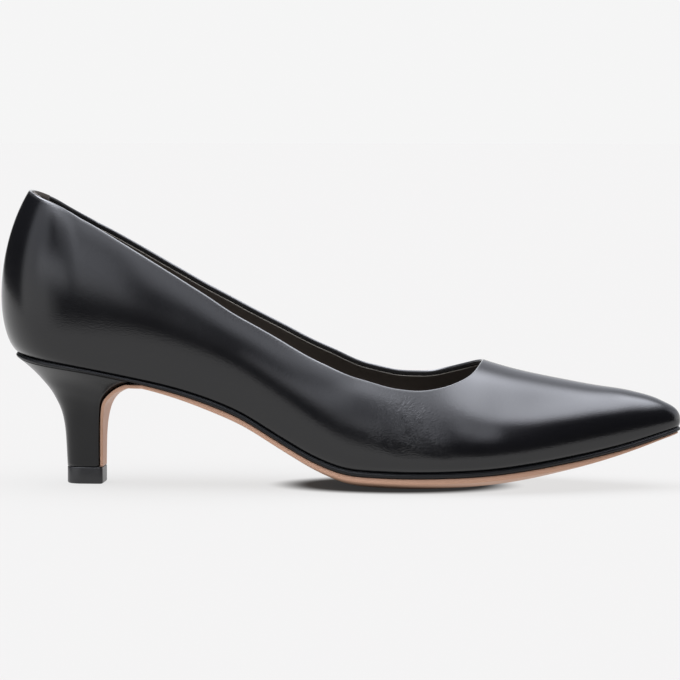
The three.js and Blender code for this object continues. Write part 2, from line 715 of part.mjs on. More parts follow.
const pieces = [
  buildUpper(),
  buildPlate(
    -WALL - CLEARANCE,
    (p) => bedAt(p) + INSOLE_THICKNESS,
    bedAt,
    "insole",
    0x2f2b26,
    0.6,
  ),
  buildPlate(WELT_REACH, weltTop, weltBottom, "welt", 0x222224, 0.5),
  buildOutsole(),
  buildHeel(),
  buildTopPiece(),
  buildHeelGrip(),
];

// The finished shoe stands with its lowest point on the floor, centred on the origin
const group = new THREE.Group();
group.name = "court_shoe";
for (const piece of pieces) group.add(piece);
const bounds = new THREE.Box3().setFromObject(group);
const centre = bounds.getCenter(new THREE.Vector3());
for (const piece of pieces) piece.geometry.translate(-centre.x, -centre.y, -bounds.min.z);

export default group;
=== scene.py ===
"""Pointed court shoe with a low curved heel, right foot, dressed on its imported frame.

The toe points along +X, the outer side of the foot faces -Y and +Z is up, in metres.
Sizes inside the shoe classes are in millimetres and become metres when a mesh is made.
"""

import logging
import math
from dataclasses import dataclass, field
from enum import Enum
from typing import Callable, Optional, Sequence

import bmesh
import bpy
import numpy as np
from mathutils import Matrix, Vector

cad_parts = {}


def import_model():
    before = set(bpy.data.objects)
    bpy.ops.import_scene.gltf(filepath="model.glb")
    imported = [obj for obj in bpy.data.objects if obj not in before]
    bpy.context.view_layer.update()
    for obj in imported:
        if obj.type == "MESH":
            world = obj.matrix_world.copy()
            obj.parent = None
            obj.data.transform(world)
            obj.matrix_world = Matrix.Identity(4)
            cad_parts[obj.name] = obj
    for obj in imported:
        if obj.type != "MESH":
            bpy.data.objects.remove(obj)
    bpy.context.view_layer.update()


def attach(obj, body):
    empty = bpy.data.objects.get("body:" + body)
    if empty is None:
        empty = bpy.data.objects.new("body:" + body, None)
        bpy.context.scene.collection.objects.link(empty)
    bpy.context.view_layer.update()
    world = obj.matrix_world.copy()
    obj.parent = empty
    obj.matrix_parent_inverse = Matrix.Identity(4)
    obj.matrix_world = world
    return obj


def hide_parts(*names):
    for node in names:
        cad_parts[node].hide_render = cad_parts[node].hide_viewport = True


log = logging.getLogger("court_shoe")

MILLIMETRE = 0.001

# Name of the vertex attribute that marks the folded collar, where a painted highlight goes.
FOLD_MARK = "fold"

# Where the shoe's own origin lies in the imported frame, in millimetres.
ORIGIN_IN_FRAME = (0.868, -0.357, 0.0)


class Side(Enum):
    """The two sides of the foot and the way each lies across it."""

    OUTER = -1
    INNER = 1


def lerp(start: float, end: float, share: float) -> float:
    """Value at a share of the way from start to end."""
    return start + (end - start) * share


def ease(share: float) -> float:
    """Smooth step from 0 to 1 for a share that may lie outside them."""
    share = min(1.0, max(0.0, share))
    return share * share * (3.0 - 2.0 * share)


def unit(vector: np.ndarray) -> np.ndarray:
    """The vector at length one."""
    return vector / max(1e-12, float(np.linalg.norm(vector)))


class Profile:
    """A smooth curve along the foot through a few named shares."""

    def __init__(
        self,
        places: Sequence[float],
        values: Sequence[float],
        softness: float,
        closes_round: bool = False,
    ) -> None:
        """Samples the curve once.

        Args:
            places: Shares along the foot, rising.
            values: The value at each place.
            softness: Width of the smoothing, as a share of the foot.
            closes_round: True for a width that ends in a round end.
        """
        self.closes_round = closes_round
        heights = np.square(values) if closes_round else np.asarray(values, dtype=float)
        samples = 1201
        self.grid = np.linspace(places[0], places[-1], samples)
        rough = self._monotone(np.asarray(places, dtype=float), heights, self.grid)
        step = self.grid[1] - self.grid[0]
        self.values = self._soften(rough, softness / step)

    @staticmethod
    def _monotone(xs: np.ndarray, ys: np.ndarray, at: np.ndarray) -> np.ndarray:
        """Monotone cubic curve through the points, sampled at the given places.

        Args:
            xs: Places of the points, rising.
            ys: Their values.
            at: Places to sample.

        Returns:
            The value at each place.
        """
        slopes = np.diff(ys) / np.diff(xs)
        bends = np.empty(len(xs))
        bends[0] = slopes[0]
        bends[-1] = slopes[-1]
        for i in range(1, len(xs) - 1):
            product = slopes[i - 1] * slopes[i]
            total = slopes[i - 1] + slopes[i]
            bends[i] = 0.0 if product <= 0 else 2.0 * product / total
        i = np.clip(np.searchsorted(xs, at, side="right") - 1, 0, len(xs) - 2)
        width = xs[i + 1] - xs[i]
        t = (at - xs[i]) / width
        rest = 1.0 - t
        start = rest * rest * (1.0 + 2.0 * t) * ys[i] + t * rest * rest * width * bends[i]
        end = t * t * (3.0 - 2.0 * t) * ys[i + 1] - t * t * rest * width * bends[i + 1]
        return start + end

    @staticmethod
    def _soften(values: np.ndarray, width: float) -> np.ndarray:
        """Rolling mean with a bell weight that keeps both end values.

        Args:
            values: Evenly spaced values.
            width: Width of the bell in steps.

        Returns:
            The smoothed values.
        """
        if width < 0.5:
            return values
        reach = int(math.ceil(3.0 * width))
        offsets = np.arange(-reach, reach + 1)
        weights = np.exp(-0.5 * (offsets / width) ** 2)
        weights /= weights.sum()
        before = 2.0 * values[0] - values[reach:0:-1]
        after = 2.0 * values[-1] - values[-2 : -reach - 2 : -1]
        padded = np.concatenate([before, values, after])
        return np.convolve(padded, weights, mode="valid")

    def __call__(self, along: float) -> float:
        """Value of the curve at a share of the foot."""
        value = float(np.interp(along, self.grid, self.values))
        return math.sqrt(max(0.0, value)) if self.closes_round else value


@dataclass(frozen=True)
class ShoeSizes:
    """Driving sizes of the shoe, in millimetres."""

    length: float = 264.0
    ball_width: float = 76.0
    seat_height: float = 51.5
    counter_height: float = 63.0
    toe_height: float = 23.6
    ball_edge_height: float = 8.0
    wall: float = 1.6
    welt_thickness: float = 1.6
    welt_reach: float = 0.9
    sole_thickness: float = 2.1
    insole_thickness: float = 2.0
    top_piece_height: float = 6.5
    tip_length: float = 13.2
    tip_width: float = 13.0
    flap_thickness: float = 1.1
    gap: float = 0.3
    heel_centre: float = 0.1087
    throat: float = 0.7055
    seat_front: float = 0.183
    tip_centre: float = 0.0995

    @property
    def feather_length(self) -> float:
        """Length of the line where the upper meets the sole."""
        return self.length * 0.974

    @property
    def tip_sway(self) -> float:
        """How far the toe turns towards the inner side."""
        return self.length * 0.0114

    @property
    def feather_back(self) -> float:
        """Place of the back end of that line."""
        return -self.length * 0.4795


# Outline and height of the feather line: share along, half widths of the outer and inner
# side as shares of the ball width, climb to the seat, spring to the toe, dish of the middle
# as a share of the ball width and thickness of the welt as a share of the full one.
FEATHER_ROWS: tuple[tuple[float, ...], ...] = (
    (0.0, 0.0, 0.0, 1.0, 0.0, 0.0, 1.0),
    (0.03, 0.241, 0.241, 0.968, 0.0, 0.0105, 0.92),
    (0.058, 0.303, 0.303, 0.94, 0.0, 0.0145, 0.8),
    (0.1087, 0.342, 0.342, 0.89, 0.0, 0.0171, 0.55),
    (0.175, 0.346, 0.334, 0.813, 0.0, 0.0171, 0.5),
    (0.25, 0.34, 0.305, 0.715, 0.0, 0.0237, 0.75),
    (0.34, 0.337, 0.271, 0.53, 0.0, 0.0342, 0.95),
    (0.41, 0.352, 0.268, 0.288, 0.0, 0.0395, 0.95),
    (0.47, 0.378, 0.295, 0.098, 0.0, 0.0474, 0.95),
    (0.52, 0.404, 0.329, 0.012, 0.0, 0.0553, 0.95),
    (0.6, 0.441, 0.402, 0.0, 0.0, 0.0605, 0.95),
    (0.66, 0.453, 0.447, 0.0, 0.025, 0.0592, 0.95),
    (0.72, 0.437, 0.453, 0.0, 0.08, 0.0526, 0.95),
    (0.78, 0.392, 0.411, 0.0, 0.2, 0.0434, 0.95),
    (0.84, 0.321, 0.336, 0.0, 0.36, 0.0276, 0.95),
    (0.9, 0.231, 0.24, 0.0, 0.55, 0.0158, 0.92),
    (0.94, 0.166, 0.17, 0.0, 0.71, 0.0092, 0.88),
    (0.975, 0.103, 0.103, 0.0, 0.885, 0.0039, 0.8),
    (1.0, 0.0, 0.0, 0.0, 1.0, 0.0, 0.75),
)

# Swell of the upper past the feather line: share along, reach on the outer and inner side
# as shares of the ball width, height of the widest place as a share of the counter height
# and squareness of the arch.
SWELL_ROWS: tuple[tuple[float, ...], ...] = (
    (0.0, 0.0868, 0.0868, 0.3492, 1.9),
    (0.032, 0.0756, 0.0756, 0.275, 1.915),
    (0.06, 0.0658, 0.0658, 0.212, 1.93),
    (0.11, 0.0474, 0.0474, 0.23, 1.97),
    (0.2, 0.0421, 0.05, 0.27, 2.0),
    (0.34, 0.0447, 0.0658, 0.254, 2.0),
    (0.43, 0.0474, 0.0711, 0.228, 2.0),
    (0.52, 0.0474, 0.0658, 0.15, 1.95),
    (0.6, 0.0474, 0.0553, 0.095, 1.88),
    (0.66, 0.0447, 0.05, 0.082, 1.82),
    (0.72, 0.0421, 0.0447, 0.08, 1.8),
    (0.78, 0.0395, 0.0395, 0.08, 1.85),
    (0.84, 0.0342, 0.0342, 0.078, 1.95),
    (0.9, 0.0263, 0.0263, 0.07, 2.05),
    (0.95, 0.0197, 0.0197, 0.055, 2.1),
    (1.0, 0.0105, 0.0105, 0.034, 2.1),
)

# Collar: share along, height on the outer and inner side, and height of the crest where the
# arch of the upper would close over the foot, all as shares of the counter height.
COLLAR_ROWS: tuple[tuple[float, ...], ...] = (
    (0.0, 1.0, 1.0, 1.267),
    (0.03, 0.976, 0.965, 1.25),
    (0.058, 0.957, 0.921, 1.227),
    (0.1087, 0.907, 0.865, 1.158),
    (0.17, 0.813, 0.777, 1.078),
    (0.23, 0.717, 0.688, 0.981),
    (0.29, 0.637, 0.623, 0.895),
    (0.35, 0.582, 0.598, 0.845),
    (0.41, 0.594, 0.622, 0.842),
    (0.47, 0.592, 0.638, 0.845),
    (0.53, 0.556, 0.595, 0.835),
    (0.585, 0.506, 0.555, 0.81),
    (0.62, 0.494, 0.553, 0.78),
    (0.65, 0.508, 0.579, 0.742),
    (0.676, 0.54, 0.608, 0.695),
    (0.692, 0.572, 0.627, 0.665),
    (0.701, 0.605, 0.637, 0.648),
    (0.7055, 0.64, 0.64, 0.64),
)

# Ridge of the vamp: share along, height as a share of the counter height, and how far it
# lags behind the feather line as a share of the shoe length.
RIDGE_ROWS: tuple[tuple[float, ...], ...] = (
    (0.7055, 0.64, 0.0),
    (0.735, 0.5925, 0.0),
    (0.765, 0.546, 0.0),
    (0.82, 0.466, 0.0004),
    (0.88, 0.378, 0.0023),
    (0.92, 0.322, 0.0053),
    (0.96, 0.246, 0.0121),
    (0.985, 0.194, 0.0197),
    (1.0, 0.163, 0.0273),
)

# Flare of the heel: level, growth at the back, at the sides and at the breast.
FLARE_ROWS: tuple[tuple[float, ...], ...] = (
    (0.0, 0.0, 0.0, 0.0),
    (0.32, 0.04, 0.035, 0.008),
    (0.47, 0.095, 0.085, 0.02),
    (0.55, 0.156, 0.14, 0.035),
    (0.62, 0.235, 0.21, 0.055),
    (0.7, 0.335, 0.31, 0.09),
    (0.77, 0.465, 0.43, 0.15),
    (0.84, 0.6, 0.56, 0.28),
    (0.91, 0.76, 0.73, 0.49),
    (0.965, 0.9, 0.89, 0.69),
    (1.0, 1.0, 1.0, 1.0),
)


def column(
    rows: Sequence[Sequence[float]], index: int, softness: float, closes_round: bool = False
) -> Profile:
    """Curve of one column of a table.

    Args:
        rows: The table, with its places in the first column.
        index: The column to read.
        softness: Width of the smoothing, as a share of the foot.
        closes_round: True for a width that ends in a round end.

    Returns:
        The smooth curve.
    """
    places = [row[0] for row in rows]
    values = [row[index] for row in rows]
    return Profile(places, values, softness, closes_round)


@dataclass
class Station:
    """One place along the feather line, with its two edge points and their outward ways."""

    along: float
    x: float
    edges: dict[Side, np.ndarray]
    outward: dict[Side, np.ndarray] = field(default_factory=dict)

    def edge(self, side: Side, reach: float) -> np.ndarray:
        """Edge point of a side moved outward by a reach, in plan."""
        return self.edges[side] + self.outward[side] * reach


@dataclass
class Section:
    """Section of the upper at a station, from the feather line to its top."""

    lower: np.ndarray
    upper: np.ndarray


class FootForm:
    """The form that the upper, the lining, the insole, the welt and the sole share."""

    def __init__(self, sizes: ShoeSizes) -> None:
        """Prepares the smooth curves of the form.

        Args:
            sizes: Driving sizes of the shoe.
        """
        self.sizes = sizes
        self.half = {
            Side.OUTER: column(FEATHER_ROWS, 1, 0.009, closes_round=True),
            Side.INNER: column(FEATHER_ROWS, 2, 0.009, closes_round=True),
        }
        self.rise = column(FEATHER_ROWS, 3, 0.014)
        self.spring = column(FEATHER_ROWS, 4, 0.016)
        self.dish = column(FEATHER_ROWS, 5, 0.012)
        self.welt = column(FEATHER_ROWS, 6, 0.012)
        self.swell = {
            Side.OUTER: column(SWELL_ROWS, 1, 0.014),
            Side.INNER: column(SWELL_ROWS, 2, 0.014),
        }
        self.swell_height = column(SWELL_ROWS, 3, 0.014)
        self.arch = column(SWELL_ROWS, 4, 0.02)
        self.collar = {
            Side.OUTER: column(COLLAR_ROWS, 1, 0.006),
            Side.INNER: column(COLLAR_ROWS, 2, 0.006),
        }
        self.crest = self._crest_profile()
        self.lag = column(RIDGE_ROWS, 2, 0.008)
        self.stations = self._lay_stations()

    def place(self, along: float) -> float:
        """Place along the shoe of a share of the feather line."""
        return self.sizes.feather_back + self.sizes.feather_length * along

    def share(self, x: float) -> float:
        """Share of the feather line at a place along the shoe."""
        raw = (x - self.sizes.feather_back) / self.sizes.feather_length
        return min(1.0, max(0.0, raw))

    def sway(self, along: float) -> float:
        """Sideways turn of the middle line towards the toe."""
        return self.sizes.tip_sway * ease((along - 0.6) / 0.4)

    def edge_height(self, along: float) -> float:
        """Height of the feather line.

        Args:
            along: Share along the foot.

        Returns:
            The height in millimetres.
        """
        sizes = self.sizes
        back = (sizes.seat_height - sizes.ball_edge_height) * self.rise(along)
        front = (sizes.toe_height - sizes.ball_edge_height) * self.spring(along)
        return sizes.ball_edge_height + back + front

    def bed(self, x: float, y: float) -> float:
        """Height of the surface that the upper and the insole stand on.

        Args:
            x: Place along the shoe.
            y: Place across it.

        Returns:
            The height, lowest on the middle line.
        """
        along = self.share(x)
        middle = self.sway(along)
        side = Side.OUTER if y < middle else Side.INNER
        half = self.sizes.ball_width * self.half[side](along)
        across = min(1.0, abs(y - middle) / half) if half > 0.01 else 1.0
        return self.edge_height(along) - self.sizes.ball_width * self.dish(along) * (1.0 - across * across)

    def _shares(self) -> list[float]:
        """Shares of the stations, close together where the shoe turns.

        Returns:
            The shares from the heel to the toe, rising.
        """
        centre = self.sizes.heel_centre
        throat = self.sizes.throat
        quarter = math.pi / 2.0
        heel = [centre * (1.0 - math.cos(quarter * i / 26)) for i in range(26)]
        body = [lerp(centre, 0.52, i / 40) for i in range(40)]
        bend = [lerp(0.52, 0.66, i / 44) for i in range(44)]
        mouth = [lerp(0.66, throat, math.sin(quarter * i / 26)) for i in range(26)]
        vamp = [lerp(throat, 0.8, (i / 30) ** 1.5) for i in range(30)]
        fore = [lerp(0.8, 0.93, i / 20) for i in range(20)]
        nose = [lerp(0.93, 1.0, math.sin(quarter * i / 26)) for i in range(27)]
        return heel + body + bend + mouth + vamp + fore + nose

    def _lay_stations(self) -> list[Station]:
        """Edge points and outward ways of every station.

        Returns:
            The stations from the heel to the toe.
        """
        stations = []
        for along in self._shares():
            x = self.place(along)
            middle = self.sway(along)
            width = self.sizes.ball_width
            edges = {}
            for side in Side:
                edges[side] = np.array([x, middle + side.value * width * self.half[side](along)])
            stations.append(Station(along, x, edges))
        last = len(stations) - 1
        for side in Side:
            other = Side.INNER if side is Side.OUTER else Side.OUTER
            for i, station in enumerate(stations):
                before = stations[i - 1].edges[side] if i > 0 else stations[1].edges[other]
                after = stations[i + 1].edges[side] if i < last else stations[last - 1].edges[other]
                way = unit(after - before)
                station.outward[side] = side.value * np.array([-way[1], way[0]])
            stations[0].outward[side] = np.array([-1.0, 0.0])
            stations[last].outward[side] = np.array([1.0, 0.0])
        return stations

    def on_vamp(self, station: Station) -> bool:
        """True where the two sides of the upper meet over the foot."""
        return station.along >= self.sizes.throat - 1e-6

    @staticmethod
    def _crest_profile() -> Profile:
        """Height of the crest over the whole foot, from the heel over the throat to the toe.

        Returns:
            The height as a share of the counter height.
        """
        heel = [(row[0], row[3]) for row in COLLAR_ROWS[:-1]]
        vamp = [(row[0], row[1]) for row in RIDGE_ROWS]
        return column(heel + vamp, 1, 0.01)

    def open_share(self, along: float, side: Side) -> float:
        """How wide the opening stays where the collar cuts the arch of the upper.

        Args:
            along: Share along the foot.
            side: Side of the foot.

        Returns:
            Share of the half width, 0 where the arch closes.
        """
        wide = self.swell_height(along)
        up = (self.collar[side](along) - wide) / (self.crest(along) - wide)
        up = min(1.0, max(0.0, up))
        arch = self.arch(along)
        return (1.0 - up**arch) ** (1.0 / arch)

    def ridge_slope(self, along: float) -> float:
        """Slope of the ridge of the vamp along the foot.

        Args:
            along: Share along the foot.

        Returns:
            Rise for each millimetre along the shoe.
        """
        step = 0.008
        low = min(along, 1.0) - step
        high = min(along + step, 1.0)
        rise = self.ridge_top(high) - self.ridge_top(low)
        run = self.ridge_place(high) - self.ridge_place(low)
        return rise / run

    def ridge_place(self, along: float) -> float:
        """Place of the ridge of the vamp along the shoe."""
        return self.place(along) - self.sizes.length * self.lag(along)

    def ridge_top(self, along: float) -> float:
        """Height of the ridge of the vamp."""
        return self.edge_height(along) + self.sizes.counter_height * self.crest(along)

    def collar_top(self, along: float, side: Side) -> float:
        """Height of the collar on one side."""
        share = self.collar[side](along)
        return self.edge_height(along) + self.sizes.counter_height * share

    def section(self, station: Station, side: Side, inset: float) -> Section:
        """Section of the upper at a station.

        Args:
            station: The place along the foot.
            side: The side of the foot.
            inset: How far inside the outer face the section lies.

        Returns:
            The lower curve to the widest place and the upper curve from there to the top.
        """
        along = station.along
        arch = self.arch(along)
        vamp = self.on_vamp(station)
        edge = self.edge_height(along)
        middle = self.sway(along)
        wide_z = edge + self.sizes.counter_height * self.swell_height(along)
        outer_wide = station.edge(side, self.sizes.ball_width * self.swell[side](along))
        if vamp:
            aim = np.array([self.ridge_place(along), middle])
            open_share = 0.0
            top_z = self.ridge_top(along)
        else:
            aim = np.array([self.place(max(along, self.sizes.heel_centre)), middle])
            open_share = self.open_share(along, side)
            top_z = self.collar_top(along, side)
        reach = float(np.linalg.norm(outer_wide - aim))
        rise_full = (1.0 - open_share**arch) ** (1.0 / arch)
        crown = (top_z - wide_z) / rise_full
        slope = (open_share / rise_full) ** (arch - 1.0) * (crown / reach) if open_share > 0 else 0.0
        lean = math.atan(slope)
        end_z = top_z - inset * math.cos(lean)
        end_reach = open_share * reach - inset * math.sin(lean)
        wide = outer_wide - station.outward[side] * inset
        inner_reach = float(np.linalg.norm(wide - aim))
        near_end = min(0.98, max(0.0, end_reach / inner_reach))
        rise = (end_z - wide_z) / (1.0 - near_end**arch) ** (1.0 / arch)
        forward = (outer_wide[0] - aim[0]) / reach
        on_ridge = ease((along - self.sizes.throat) / 0.06)
        tilt = on_ridge * self.ridge_slope(along) * forward * reach if vamp else 0.0
        foot = station.edge(side, -inset)
        lower = self._lower_curve(foot, wide, edge, wide_z)
        steps = 64
        stop = math.acos(min(1.0, near_end ** (arch / 2.0)))
        upper = np.empty((steps + 1, 3))
        for i in range(steps + 1):
            angle = stop * i / steps
            near = near_end if i == steps else math.cos(angle) ** (2.0 / arch)
            point = aim + (wide - aim) * near
            height = wide_z + rise * math.sin(angle) ** (2.0 / arch) + tilt * near * (1.0 - near)
            upper[i] = (point[0], point[1], height)
        return Section(lower, upper)

    @staticmethod
    def _lower_curve(foot: np.ndarray, wide: np.ndarray, low: float, high: float) -> np.ndarray:
        """Curve from the feather line out to the widest place.

        Args:
            foot: Plan point at the feather line.
            wide: Plan point at the widest place.
            low: Height of the feather line.
            high: Height of the widest place.

        Returns:
            The points of the curve, lowest first.
        """
        steps = 40
        quarter = math.pi / 2.0
        first = 0.12
        start = math.sin(quarter * first)
        base = 1.0 - math.cos(quarter * first)
        points = np.empty((steps + 1, 3))
        for i in range(steps + 1):
            angle = quarter * (first + (1.0 - first) * i / steps)
            out = (math.sin(angle) - start) / (1.0 - start)
            up = (1.0 - math.cos(angle) - base) / (1.0 - base)
            plan = foot + (wide - foot) * out
            points[i] = (plan[0], plan[1], lerp(low, high, up))
        return points


def lengths_of(points: np.ndarray) -> np.ndarray:
    """Running length along a line of points."""
    steps = np.linalg.norm(np.diff(points, axis=0), axis=1)
    return np.concatenate([[0.0], np.cumsum(steps)])


def along_line(points: np.ndarray, stops: np.ndarray) -> np.ndarray:
    """Points at given lengths along a line of points."""
    lengths = lengths_of(points)
    return np.stack([np.interp(stops, lengths, points[:, k]) for k in range(3)], axis=1)


class MeshMaker:
    """Collects grids of points and turns them into one closed mesh in metres."""

    def __init__(self, name: str, shift: np.ndarray) -> None:
        """Starts an empty mesh.

        Args:
            name: Name of the piece.
            shift: Offset of the shoe from its own frame, in millimetres.
        """
        self.name = name
        self.shift = shift
        self.points: list[np.ndarray] = []
        self.faces: list[tuple[int, ...]] = []

    def grid(self, rows: np.ndarray, flipped: bool = False, closed: bool = False) -> None:
        """Adds a grid of points.

        Args:
            rows: Points as rows, columns and coordinates.
            flipped: True to turn the faces the other way.
            closed: True to join the last row to the first.
        """
        count, width = rows.shape[:2]
        first = len(self.points)
        self.points.extend(rows.reshape(-1, 3))
        for i in range(count if closed else count - 1):
            for j in range(width - 1):
                here = first + i * width + j
                there = first + ((i + 1) % count) * width + j
                face = (here, there, there + 1, here + 1)
                self.faces.append(face[::-1] if flipped else face)

    def build(self, weld: float = 0.002) -> bpy.types.Object:
        """Makes the object, with every face turned outward.

        Args:
            weld: Distance in millimetres under which points are joined.

        Returns:
            The object, linked to the scene, with smooth faces.
        """
        mesh = bpy.data.meshes.new(self.name)
        points = (np.asarray(self.points) + self.shift) * MILLIMETRE
        mesh.from_pydata([tuple(point) for point in points], [], self.faces)
        work = bmesh.new()
        work.from_mesh(mesh)
        bmesh.ops.remove_doubles(work, verts=work.verts, dist=weld * MILLIMETRE)
        bmesh.ops.dissolve_degenerate(work, edges=work.edges, dist=weld * 0.5 * MILLIMETRE)
        bmesh.ops.recalc_face_normals(work, faces=work.faces)
        for face in work.faces:
            face.smooth = True
        work.to_mesh(mesh)
        work.free()
        mesh.update()
        made = bpy.data.objects.new(self.name, mesh)
        bpy.context.scene.collection.objects.link(made)
        return made


def cut_length(points: np.ndarray, rim: np.ndarray, distance: float) -> float:
    """Length along a rib at which it comes closer to the rim than a distance.

    Args:
        points: The rib from its foot to its top.
        rim: Points of the rim line.
        distance: How far from the rim the rib has to stop.

    Returns:
        The length, which is the whole rib where it never comes that close.
    """
    lengths = lengths_of(points)
    gaps = distance_to_line(points, rim)
    close = np.nonzero(gaps < distance)[0]
    if len(close) == 0 or close[0] == 0:
        return float(lengths[-1])
    i = int(close[0])
    share = (gaps[i - 1] - distance) / max(1e-9, gaps[i - 1] - gaps[i])
    return float(lerp(lengths[i - 1], lengths[i], share))


def distance_to_line(points: np.ndarray, line: np.ndarray) -> np.ndarray:
    """Distance of each point from an open line of points.

    Args:
        points: The points.
        line: Points of the line in order.

    Returns:
        The shortest distance for each point.
    """
    start = line[:-1]
    step = line[1:] - start
    size = np.maximum(1e-12, np.sum(step * step, axis=1))
    away = points[:, None, :] - start[None, :, :]
    share = np.clip(np.sum(away * step[None, :, :], axis=2) / size, 0.0, 1.0)
    nearest = away - share[:, :, None] * step[None, :, :]
    return np.sqrt(np.min(np.sum(nearest * nearest, axis=2), axis=1))


@dataclass(frozen=True)
class Crease:
    """A soft trough in the leather, with a low ridge on both sides.

    Places are a share along the foot and a share of the way up the side. Width, depth and
    sag are in millimetres.
    """

    side: Side
    start: tuple[float, float]
    end: tuple[float, float]
    depth: float
    width: float
    sag: float = 0.0

    def offset(self, along: float, up: float, height: float, length: float) -> float:
        """Offset of the surface, below zero inside the trough.

        Args:
            along: Share along the foot.
            up: Share of the way up the side.
            height: Length of the rib in millimetres.
            length: Length of the feather line in millimetres.

        Returns:
            The offset in millimetres.
        """
        run_out = 0.35
        run_out_fade = 0.5
        lip_height = 0.45
        lip_place = 1.7
        run = (self.end[0] - self.start[0]) * length
        climb = (self.end[1] - self.start[1]) * height
        size = math.hypot(run, climb)
        px = (along - self.start[0]) * length
        py = (up - self.start[1]) * height
        share = (px * run + py * climb) / (size * size)
        if share < -run_out or share > 1.0 + run_out:
            return 0.0
        bow = self.sag * 4.0 * share * (1.0 - share) if 0.0 < share < 1.0 else 0.0
        across = (py * run - px * climb) / size + bow
        fade = ease((share + run_out) / run_out_fade) * ease((1.0 + run_out - share) / run_out_fade)
        t = across / self.width
        trough = math.exp(-t * t)
        lips = lip_height * (math.exp(-((t - lip_place) ** 2)) + math.exp(-((t + lip_place) ** 2)))
        return self.depth * fade * (lips - trough)


# Creases where the shoe bends.
CREASES: tuple[Crease, ...] = (
    Crease(Side.OUTER, (0.60, 0.50), (0.66, 0.30), 0.045, 2.2, 1.0),
    Crease(Side.OUTER, (0.565, 0.46), (0.63, 0.24), 0.04, 2.4, 1.2),
    Crease(Side.OUTER, (0.635, 0.60), (0.70, 0.36), 0.035, 2.2, 1.0),
    Crease(Side.OUTER, (0.68, 0.52), (0.73, 0.34), 0.018, 2.4, 0.8),
    Crease(Side.INNER, (0.58, 0.52), (0.64, 0.26), 0.06, 2.4, 1.2),
    Crease(Side.INNER, (0.62, 0.56), (0.68, 0.30), 0.055, 2.2, 1.0),
    Crease(Side.INNER, (0.66, 0.58), (0.72, 0.36), 0.04, 2.2, 0.9),
)


@dataclass
class RibLayer:
    """All ribs of one face of the upper, in order round the shoe, cut at the collar."""

    rows: np.ndarray
    first: int
    last: int

    def rim(self) -> np.ndarray:
        """Closed loop of the top points round the collar, without the repeated point."""
        return self.rows[self.first : self.last, -1]


